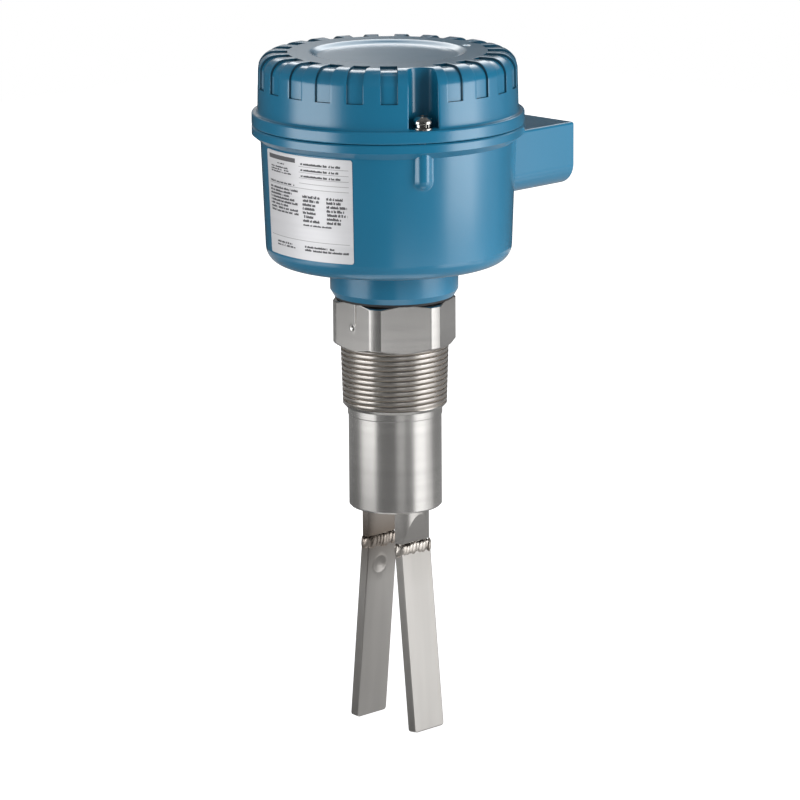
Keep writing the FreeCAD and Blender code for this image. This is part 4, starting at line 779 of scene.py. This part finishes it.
def make_blade(side, sizes):
    """One flat blade with softened edges; the rear one has a shallow dent on its inner face."""
    half_width, half_thick = sizes.width / MM / 2, sizes.thickness / MM / 2
    length_down = sizes.reach / MM + WELD_HIGH / 2
    soft, tip, hold = 0.45, 1.6, 0.2
    back_left, back_right, front_right, front_left = rounded_corners(half_width, half_thick, soft,
                                                                     (0, 22, 45, 68, 90))
    across = np.linspace(-half_width + soft + 0.25, half_width - soft - 0.25, 40)
    edge = half_thick - soft - hold
    loop = [*back_right, (half_width, -edge), (half_width, edge), *front_right,
            *((x, half_thick) for x in across[::-1]), *front_left, (-half_width, edge), (-half_width, -edge),
            *back_left, *((x, -half_thick) for x in across)]
    loop = np.array(loop)[::-1]
    dent_z = -WELD_HIGH / 2 - 8.0
    height = np.concatenate([(0.0, -1.0, -3.0, -5.0), np.arange(dent_z + 4.6, dent_z - 4.7, -0.35),
                             np.arange(-20.0, -69.0, -8.0), (-75.0,),
                             tip - length_down - tip * np.sin(np.radians(np.linspace(0, 90, 9)))])[:, None]
    to_tip = length_down + height
    x = loop[:, 0] * (half_width - drawn_in(tip, to_tip)) / half_width
    y = loop[:, 1] * (half_thick - drawn_in(soft, to_tip)) / half_thick
    if side > 0:
        away = np.hypot(x + 1.0, height - dent_z)
        dent = 0.5 * smoothstep(0, 1, 1.15 - away / 3.7)
        rim = 0.10 * np.exp(-((away - 4.0) / 0.5) ** 2)
        y = np.where(loop[:, 1] < -half_thick + 0.01, y + dent - rim, y)
    lean = side * sizes.splay
    grid = np.stack([x, y * math.cos(lean) - height * math.sin(lean) + side * BLADE_MIDDLE,
                     y * math.sin(lean) + height * math.cos(lean) + WELD_LEVEL], -1)
    blade = lofted("rear_blade" if side > 0 else "front_blade", grid, finish("blade_steel"), poles=True,
                   smooth_angle=50)
    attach(blade, "root")
    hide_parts("rear_tine" if side > 0 else "front_tine")


def ripple_tree():
    """Geometry Nodes tree: overlapping upright ripples, each leaning a little, along the weld's path."""
    tree = bpy.data.node_groups.new("Weld bead", "GeometryNodeTree")
    for label, kind, value in (("Geometry", "Geometry", None), ("Spacing", "Float", 0.00175),
                               ("Size", "Vector", None), ("Lean", "Float", 0.42), ("Seed", "Int", SEED),
                               ("Finish", "Material", None)):
        socket = tree.interface.new_socket(label, in_out="INPUT", socket_type="NodeSocket" + kind)
        if value is not None:
            socket.default_value = value
    tree.interface.new_socket("Geometry", in_out="OUTPUT", socket_type="NodeSocketGeometry")
    given = tree.nodes.new("NodeGroupInput").outputs

    def step(kind, values, output=0, **settings):
        return node(tree, kind, values, **settings).outputs[output]

    points = step("GeometryNodeResampleCurve", {"Curve": given["Geometry"], "Length": given["Spacing"]},
                  mode="LENGTH")
    jitter = step("FunctionNodeRandomValue", {0: (-0.00022, -0.00022, -0.00030), 1: (0.00022, 0.00022, 0.00030),
                                              "Seed": given["Seed"]}, data_type="FLOAT_VECTOR")
    shifted = step("GeometryNodeSetPosition", {"Geometry": points, "Offset": jitter})
    ball = step("GeometryNodeMeshIcoSphere", {"Radius": 1.0, "Subdivisions": 4})
    lean = step("ShaderNodeCombineXYZ", {1: given["Lean"]})
    sized = step("GeometryNodeTransform", {"Geometry": ball, "Scale": given["Size"]})
    leaned = step("GeometryNodeTransform", {"Geometry": sized, "Rotation": lean})
    tangent = step("GeometryNodeInputTangent", {})
    turn = step("FunctionNodeAlignRotationToVector", {"Vector": tangent}, axis="X", pivot_axis="Z")
    size = step("FunctionNodeRandomValue", {2: 0.84, 3: 1.06, "Seed": given["Seed"]}, output=1, data_type="FLOAT")
    copies = step("GeometryNodeInstanceOnPoints", {"Points": shifted, "Instance": leaned, "Rotation": turn,
                                                   "Scale": size})
    real = step("GeometryNodeRealizeInstances", {"Geometry": copies})
    smooth = step("GeometryNodeSetShadeSmooth", {"Geometry": real})
    coloured = step("GeometryNodeSetMaterial", {"Geometry": smooth, "Material": given["Finish"]})
    node(tree, "NodeGroupOutput", {0: coloured})
    return tree


def set_input(modifier, label, value):
    """Set a named input of a Geometry Nodes modifier by its identifier."""
    for socket in modifier.node_group.interface.items_tree:
        if socket.item_type == "SOCKET" and socket.in_out == "INPUT" and socket.name == label:
            modifier[socket.identifier] = value
            return
    raise KeyError(label)


def make_weld(side, sizes):
    """Rippled bead round the joint of one blade and its stub."""
    inside = 0.15
    arcs = rounded_corners(sizes.width / MM / 2 - inside, sizes.thickness / MM / 2 - inside, 0.9,
                           (0, 22.5, 45, 67.5, 90))
    path = [point for arc in arcs for point in arc]
    curve = bpy.data.curves.new("weld_path", "CURVE")
    curve.dimensions = "3D"
    spline = curve.splines.new("POLY")
    spline.points.add(len(path) - 1)
    for point, (x, y) in zip(spline.points, path):
        point.co = (x * MM, (y + side * BLADE_MIDDLE) * MM, WELD_LEVEL * MM, 1.0)
    spline.use_cyclic_u = True
    path_object = linked("weld_path", curve)
    modifier = path_object.modifiers.new("Weld bead", "NODES")
    modifier.node_group = bpy.data.node_groups.get("Weld bead") or ripple_tree()
    set_input(modifier, "Spacing", sizes.ripple)
    set_input(modifier, "Size", (1.9 * MM, 0.9 * MM, 2.95 * MM))
    set_input(modifier, "Seed", SEED + int(side > 0))
    set_input(modifier, "Finish", finish("weld"))
    graph = bpy.context.evaluated_depsgraph_get()
    mesh = bpy.data.meshes.new_from_object(path_object.evaluated_get(graph), depsgraph=graph)
    bpy.data.objects.remove(path_object)
    mesh.name = "rear_weld" if side > 0 else "front_weld"
    weld = linked(mesh.name, mesh)
    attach(weld, "root")


POT_FLOOR, POT_TALL = 38.0, 54.4
POT_WALL, POT_FLARE = 54.2, 2.0
PLATE_LOW, PLATE_HIGH = 46.2, 91.9
PLATE_TURN, PLATE_HALF_ARC = 182.7, 26.25
PLATE_CORNER = 0.9


def pot_radius(height):
    """Radius of the pot's slightly conical wall."""
    return POT_WALL + POT_FLARE * (height - POT_FLOOR) / POT_TALL


def make_plate():
    """Thin curved plate on the pot's wall, with its own UV map."""
    half_arc = math.radians(PLATE_HALF_ARC)
    columns, rows = 129, 97
    width = half_arc * (pot_radius(PLATE_LOW) + pot_radius(PLATE_HIGH))
    tall = PLATE_HIGH - PLATE_LOW
    across, up = np.meshgrid(np.linspace(0, 1, columns), np.linspace(0, 1, rows))
    aside = np.minimum(across, 1 - across) * width
    ends = np.minimum(up, 1 - up) * tall
    # the outline's corners are rounded by pulling the border rows in
    shift = np.where(up < 0.5, 1, -1) * drawn_in(PLATE_CORNER, aside) * np.maximum(1 - ends / PLATE_CORNER, 0)
    height = PLATE_LOW + up * tall + shift
    angle = math.radians(PLATE_TURN) - half_arc * (1 - 2 * across)
    points = np.vstack([around(POT_X, pot_radius(height) + proud, angle, height).reshape(-1, 3)
                        for proud in (0.42, 0.02)])
    count = rows * columns
    index = np.arange(count).reshape(rows, columns)
    sides = np.array([0, 1, 1 + columns, columns, count, count + columns, count + columns + 1, count + 1])
    sides = (index[:-1, :-1].reshape(-1, 1) + sides).reshape(-1, 4)
    border = np.concatenate([index[0], index[1:, -1], index[-1, -2::-1], index[-2:0:-1, 0]])
    following = np.roll(border, -1)
    rim = np.stack([following, border, border + count, following + count], -1)
    plate = mesh_object("name_plate_foil", points, np.vstack([sides, rim]).tolist(), finish("plate_foil"), 30)
    loops = np.zeros(len(plate.data.loops), int)
    plate.data.loops.foreach_get("vertex_index", loops)
    flat = np.stack([across.reshape(-1), up.reshape(-1)], -1)
    flat = np.vstack([flat, flat])
    plate.data.uv_layers.new(name="plate").data.foreach_set("uv", flat[loops].reshape(-1))
    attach(plate, "root")
    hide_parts("name_plate")


LOCK_SEAT = 107.5            # underside of the lock screw's head


def cross_slot(x, y, turn):
    """One tapered arm of the cross recess, to be cut out of the lock screw."""
    arm = bmesh.new()
    bmesh.ops.create_cube(arm, size=1.0)
    bmesh.ops.scale(arm, vec=Vector((4.6, 1.0, 2.4)), verts=arm.verts)
    bmesh.ops.scale(arm, vec=Vector((0.62, 0.7, 1.0)), verts=[v for v in arm.verts if v.co.z < 0])
    bmesh.ops.transform(arm, matrix=Matrix.Translation((x, y, LOCK_SEAT + 3.4 - 0.7))
                        @ Matrix.Rotation(math.radians(turn), 4, "Z"), verts=arm.verts)
    bmesh.ops.scale(arm, vec=Vector((MM, MM, MM)), verts=arm.verts)
    mesh = bpy.data.meshes.new("cross")
    arm.to_mesh(mesh)
    arm.free()
    return linked("cross", mesh)


def make_lock_screw():
    """Pan-head lock screw with a cross recess, its split washer and its flat washer."""
    x = POT_X + LOCK_ORBIT * math.cos(math.radians(LOCK_TURN))
    y = LOCK_ORBIT * math.sin(math.radians(LOCK_TURN))
    head, tip = LOCK_SEAT + 3.4, LOCK_SEAT - 22.0
    steel = finish("screw_steel")
    screw = turned("lock_pan_screw", [(0.5, head), (2.4, head, 1.5), (4.15, LOCK_SEAT + 1.7, 1.3),
                                      (4.15, LOCK_SEAT, 0.25), (2.0, LOCK_SEAT, 0.15), (2.0, tip + 0.6, 0.3),
                                      (1.4, tip, 0.2), (0.5, tip)], steel, (x, y), closed=False)
    for turn in (45, 135):
        cut_out(screw, cross_slot(x, y, turn))
    screw.data.set_sharp_from_angle(angle=math.radians(35))
    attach(screw, "lock")
    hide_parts("lock_screw")
    flat = turned("lock_flat_washer_ring", [(2.1, 106.0, 0.12), (4.5, 106.0, 0.2), (4.5, 105.0, 0.15),
                                            (2.1, 105.0, 0.12)], steel, (x, y))
    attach(flat, "lock")
    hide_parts("lock_flat_washer")
    share = np.linspace(0, 1, 72)[:, None]
    slit = math.radians(14)
    angle = math.radians(LOCK_TURN + 20) + slit / 2 + (2 * math.pi - slit) * share
    radius, height = np.array([(2.12, 106.08), (3.58, 106.08), (3.62, 106.14), (3.62, 107.36), (3.58, 107.42),
                               (2.12, 107.42), (2.08, 107.36), (2.08, 106.14)]).T
    spring = lofted("lock_split_washer", around(x, radius, angle, height + 0.10 * (share - 0.5), y), steel,
                    poles=True, smooth_angle=30)
    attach(spring, "lock")
    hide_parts("lock_spring_washer")


def dress_frame():
    """Give every carried-over node the finish of its slot."""
    slots = {part["node"]: part["material_slot"] for part in frame["record"]["subparts"]}
    for name, piece in frame["nodes"].items():
        wanted = finish("stub_steel" if name == "fork_diaphragm" else slots[name])
        for place in piece.material_slots:
            place.material = wanted
        if not piece.material_slots:
            piece.data.materials.append(wanted)


# Stage

FLOOR_DROP, FLOOR_HALF = 325.0, 3000.0       # below the fork's tips, and half the floor's side
# azimuth in degrees from the camera, and brightness
PAINT_CARDS = ((-180, 0.03), (-140, 0.06), (-104, 0.08), (-92, 0.3), (-81, 3.8), (-51, 4.4),
               (-38, 0.3), (-30, 0.06), (0, 0.04), (38, 0.06), (46, 0.6), (55, 4.4), (77, 4.4), (88, 1.5),
               (97, 0.7), (120, 0.15), (150, 0.08), (180, 0.03))
HEX_CARDS = ((-180, 0.4), (-100, 0.32), (-86, 0.34), (-77, 2.2), (-50, 2.3), (-43, 0.30), (0, 0.30), (7, 1.7),
             (38, 1.8), (50, 1.3), (58, 2.1), (92, 1.9), (104, 0.6), (180, 0.65))
TUBE_CARDS = ((-180, 0.35), (-110, 0.32), (-99, 0.4), (-84, 1.75), (-52, 2.2), (-44, 0.34), (0, 0.30), (7, 1.0),
              (20, 1.0), (26, 0.30), (43, 0.30), (51, 2.3), (74, 2.2), (84, 1.0), (97, 0.8), (105, 0.40), (180, 0.35))
THREAD_CARDS = ((-180, 0.35), (-120, 0.4), (-104, 0.6), (-92, 1.6), (-50, 2.1), (-43, 0.36), (0, 0.32), (7, 1.0),
                (20, 1.0), (26, 0.4), (40, 0.5), (48, 2.2), (88, 2.2), (98, 0.6), (115, 0.3), (180, 0.3))
MIDDLE_CARDS = ((-180, 0.22), (-44, 0.18), (0, 0.27), (44, 0.36), (52, 1.9), (76, 1.7), (86, 1.4), (100, 1.3),
                (108, 0.5), (180, 0.35))
BLADE_CARDS = ((-180, 0.18), (-60, 0.18), (0, 0.30), (60, 0.46), (120, 0.48), (180, 0.30))
BACK_CARDS = ((-180, 0.17), (-177, 0.34), (-172, 0.42), (-163, 0.34), (-145, 0.12), (-104, 0.12), (104, 0.10),
              (140, 0.12), (172, 0.03), (177, 0.05), (180, 0.17))
EDGE_CARDS = ((-180, 3.3), (-163, 3.3), (-152, 0.3), (-60, 0.12), (60, 0.12), (110, 0.3), (140, 1.2), (160, 3.2),
              (180, 3.3))
NECK_CARDS = ((-180, 0.03), (-104, 0.05), (-90, 0.3), (-50, 0.25), (-36, 0.03), (30, 0.03), (50, 0.2),
              (60, 0.35), (100, 0.4), (125, 0.1), (180, 0.03))
OVERHEAD = ((-180, 0.14), (180, 0.14))
# radius and height in millimetres, then brightness by azimuth from the camera
REFLECTED = (
    (230, -497, BLADE_CARDS), (520, -495, BLADE_CARDS), (520, -305, BLADE_CARDS), (520, -272, MIDDLE_CARDS),
    (520, -198, MIDDLE_CARDS), (520, -190, TUBE_CARDS), (520, -144, TUBE_CARDS), (520, -139, THREAD_CARDS),
    (520, -112, THREAD_CARDS), (520, -106, HEX_CARDS), (520, -81, HEX_CARDS), (520, -77, NECK_CARDS),
    (520, -60, NECK_CARDS), (520, -54, PAINT_CARDS), (520, 80, PAINT_CARDS), (520, 140, BACK_CARDS),
    (520, 305, BACK_CARDS), (520, 335, EDGE_CARDS), (440, 440, EDGE_CARDS), (300, 585, EDGE_CARDS),
    (270, 600, OVERHEAD), (60, 610, OVERHEAD),
)
OBJECT_MIDDLE = -0.0307      # metres above the frame's origin
AIM_SIDEWAYS, AIM_UP, CAMERA_ROLL = 0.00223, 0.0042, -0.38


def emptied(owner):
    """The node tree of a material or world, cleared."""
    owner.use_nodes = True
    owner.node_tree.nodes.clear()
    return owner.node_tree


def seen_directly(tree):
    """1 for the rays that come from the camera, off a gloss or through glass, and 0 for the rest."""
    rays = tree.nodes.new("ShaderNodeLightPath").outputs
    direct = math_node(tree, "MAXIMUM", rays["Is Camera Ray"], rays["Is Glossy Ray"])
    return math_node(tree, "MAXIMUM", direct, rays["Is Transmission Ray"])


def card_material():
    """A glowing card whose brightness is painted on its points."""
    material = bpy.data.materials.new("reflection_card")
    tree = emptied(material)
    level = node(tree, "ShaderNodeAttribute", attribute_name="level")
    glow = node(tree, "ShaderNodeEmission", {"Strength": level.outputs["Fac"]})
    node(tree, "ShaderNodeOutputMaterial", {"Surface": glow.outputs[0]})
    material.cycles.emission_sampling = "NONE"
    return material


def reflection_cards(azimuth):
    """Softboxes and flags round the object that only its reflections show."""
    steps = np.linspace(-180, 180, 360, endpoint=False)
    angle = azimuth - math.pi / 2 + np.radians(steps)
    radius, height, brightness = zip(*REFLECTED)
    grid = around(0.0, np.array(radius, float)[:, None], angle, np.array(height, float)[:, None])
    cards = lofted("reflection_cards", grid, card_material())
    level = np.array([np.interp(steps, *zip(*row)) for row in brightness], np.float32)
    cards.data.attributes.new("level", "FLOAT", "POINT").data.foreach_set("value", level.reshape(-1))
    cards.visible_camera = cards.visible_diffuse = cards.visible_shadow = False
    cards.visible_transmission = False


def make_floor():
    """A wide pale floor with a soft shadow that fades into the white surroundings."""
    level = cad_box[0][2] / MM - FLOOR_DROP
    floor = mesh_object("floor", [(x * FLOOR_HALF, y * FLOOR_HALF, level) for x, y, _ in CORNERS], [(0, 1, 2, 3)])
    material = bpy.data.materials.new("pale_floor")
    tree = emptied(material)
    matt = node(tree, "ShaderNodeBsdfDiffuse", {"Color": (0.80, 0.80, 0.80, 1.0)})
    where = tree.nodes.new("ShaderNodeTexCoord").outputs["Object"]
    away = node(tree, "ShaderNodeVectorMath", {0: where}, operation="LENGTH").outputs["Value"]
    strength = math_node(tree, "MULTIPLY", seen_directly(tree), ranged(tree, away, 0.6, 1.6, 0.30, 1.0))
    glow = node(tree, "ShaderNodeEmission", {"Color": (1.0, 1.0, 1.0, 1.0), "Strength": strength})
    both = node(tree, "ShaderNodeAddShader", {0: matt.outputs[0], 1: glow.outputs[0]})
    node(tree, "ShaderNodeOutputMaterial", {"Surface": both.outputs[0]})
    material.cycles.emission_sampling = "NONE"
    floor.data.materials.append(material)


def make_world():
    """White surroundings that light the object less than they show."""
    world = bpy.data.worlds.new("studio")
    bpy.context.scene.world = world
    tree = emptied(world)
    strength = ranged(tree, seen_directly(tree), 0.0, 1.0, 0.38, 1.0)
    glow = node(tree, "ShaderNodeBackground", {"Color": (1.0, 1.0, 1.0, 1.0), "Strength": strength})
    node(tree, "ShaderNodeOutputWorld", {"Surface": glow.outputs[0]})


def direction_to(azimuth, elevation):
    return Vector((math.sin(azimuth) * math.cos(elevation), -math.cos(azimuth) * math.cos(elevation),
                   math.sin(elevation)))


def area_light(name, azimuth, elevation, distance, size, power):
    """A softbox that looks at the object and shows in no reflection; its azimuth in radians."""
    light = bpy.data.lights.new(name, "AREA")
    light.shape = "RECTANGLE"
    light.size, light.size_y = size
    light.energy = power
    lamp = linked(name, light)
    direction = direction_to(azimuth, math.radians(elevation))
    lamp.location = Vector((0, 0, 0.02)) + direction * distance
    lamp.rotation_euler = direction.to_track_quat("Z", "Y").to_euler()
    lamp.visible_glossy = False


def make_camera(sizes):
    """The photo's camera, aimed a little beside the object's middle."""
    camera = linked("camera", bpy.data.cameras.new("camera"))
    camera.data.sensor_width = 36.0
    camera.data.lens = sizes.lens
    camera.data.clip_end = 40.0
    middle = Vector((0.0, 0.0, OBJECT_MIDDLE))
    right = Vector((math.cos(sizes.azimuth), math.sin(sizes.azimuth), 0.0))
    target = middle + right * AIM_SIDEWAYS + Vector((0, 0, AIM_UP))
    place = middle + direction_to(sizes.azimuth, sizes.elevation) * sizes.distance
    turn = (place - target).to_track_quat("Z", "Y").to_matrix().to_4x4()
    camera.matrix_world = Matrix.Translation(place) @ turn @ Matrix.Rotation(math.radians(CAMERA_ROLL), 4, "Z")
    bpy.context.scene.camera = camera


def make_stage(sizes):
    """Floor, reflections, surroundings, lights and camera."""
    make_floor()
    reflection_cards(sizes.azimuth)
    make_world()
    base = sizes.azimuth
    area_light("left_softbox", base - math.radians(62), 10, 1.5, (0.7, 1.1), 15.0)
    area_light("right_softbox", base + math.radians(68), 10, 1.5, (0.7, 1.1), 31.0)
    area_light("front_softbox", base, 20, 1.9, (0.8, 0.8), 2.0)
    make_camera(sizes)
    bpy.context.scene.view_settings.view_transform = "Standard"


# Operators and the panel


class SWITCH_OT_lid(bpy.types.Operator):
    """Build the castellated lid"""
    bl_idname = "switch.lid"
    bl_label = "Castellated lid"

    def execute(self, context):
        make_lid(context.scene.switch_lid)
        return {"FINISHED"}


class SWITCH_OT_lock_screw(bpy.types.Operator):
    """Build the lock screw with its washers"""
    bl_idname = "switch.lock_screw"
    bl_label = "Lock screw"

    def execute(self, context):
        make_lock_screw()
        return {"FINISHED"}


class SWITCH_OT_connection(bpy.types.Operator):
    """Build the hexagon with its taper thread"""
    bl_idname = "switch.connection"
    bl_label = "Threaded hexagon"

    def execute(self, context):
        make_connection(context.scene.switch_connection)
        return {"FINISHED"}


class SWITCH_OT_fork(bpy.types.Operator):
    """Build both blades and their weld beads"""
    bl_idname = "switch.fork"
    bl_label = "Fork blades and welds"

    def execute(self, context):
        sizes = context.scene.switch_fork
        for side in (-1, 1):
            make_blade(side, sizes)
            make_weld(side, sizes)
        return {"FINISHED"}


class SWITCH_OT_plate(bpy.types.Operator):
    """Build the name plate with generic print"""
    bl_idname = "switch.plate"
    bl_label = "Name plate"

    def execute(self, context):
        make_plate()
        return {"FINISHED"}


class SWITCH_OT_dress(bpy.types.Operator):
    """Give the carried-over nodes their finishes"""
    bl_idname = "switch.dress"
    bl_label = "Finishes of the other pieces"

    def execute(self, context):
        dress_frame()
        return {"FINISHED"}


class SWITCH_OT_stage(bpy.types.Operator):
    """Set the floor, the lights and the camera"""
    bl_idname = "switch.stage"
    bl_label = "Stage and camera"

    def execute(self, context):
        make_stage(context.scene.switch_stage)
        return {"FINISHED"}


OPERATORS = (SWITCH_OT_lid, SWITCH_OT_lock_screw, SWITCH_OT_connection, SWITCH_OT_fork, SWITCH_OT_plate,
             SWITCH_OT_dress, SWITCH_OT_stage)
GROUPS = {"switch_lid": LidSizes, "switch_connection": ConnectionSizes, "switch_fork": ForkSizes,
          "switch_finishes": Finishes, "switch_stage": StageSizes}


class SWITCH_PT_panel(bpy.types.Panel):
    """Level switch pieces"""
    bl_idname = "SWITCH_PT_panel"
    bl_label = "Level switch"
    bl_space_type = "VIEW_3D"
    bl_region_type = "UI"
    bl_category = "Level switch"

    def draw(self, context):
        for operator in OPERATORS:
            self.layout.operator(operator.bl_idname)
        for name, group in GROUPS.items():
            box = self.layout.box()
            for key in group.__annotations__:
                box.prop(getattr(context.scene, name), key)


def register():
    for group in GROUPS.values():
        bpy.utils.register_class(group)
    for name, group in GROUPS.items():
        setattr(bpy.types.Scene, name, PointerProperty(type=group))
    for operator in OPERATORS:
        bpy.utils.register_class(operator)
    bpy.utils.register_class(SWITCH_PT_panel)


def unregister():
    bpy.utils.unregister_class(SWITCH_PT_panel)
    for operator in reversed(OPERATORS):
        bpy.utils.unregister_class(operator)
    for name, group in GROUPS.items():
        delattr(bpy.types.Scene, name)
        bpy.utils.unregister_class(group)


def main():
    register()
    bpy.ops.switch.lid()
    bpy.ops.switch.lock_screw()
    bpy.ops.switch.connection()
    bpy.ops.switch.fork()
    bpy.ops.switch.plate()
    bpy.ops.switch.dress()
    bpy.ops.switch.stage()


if __name__ == "__main__":
    main()
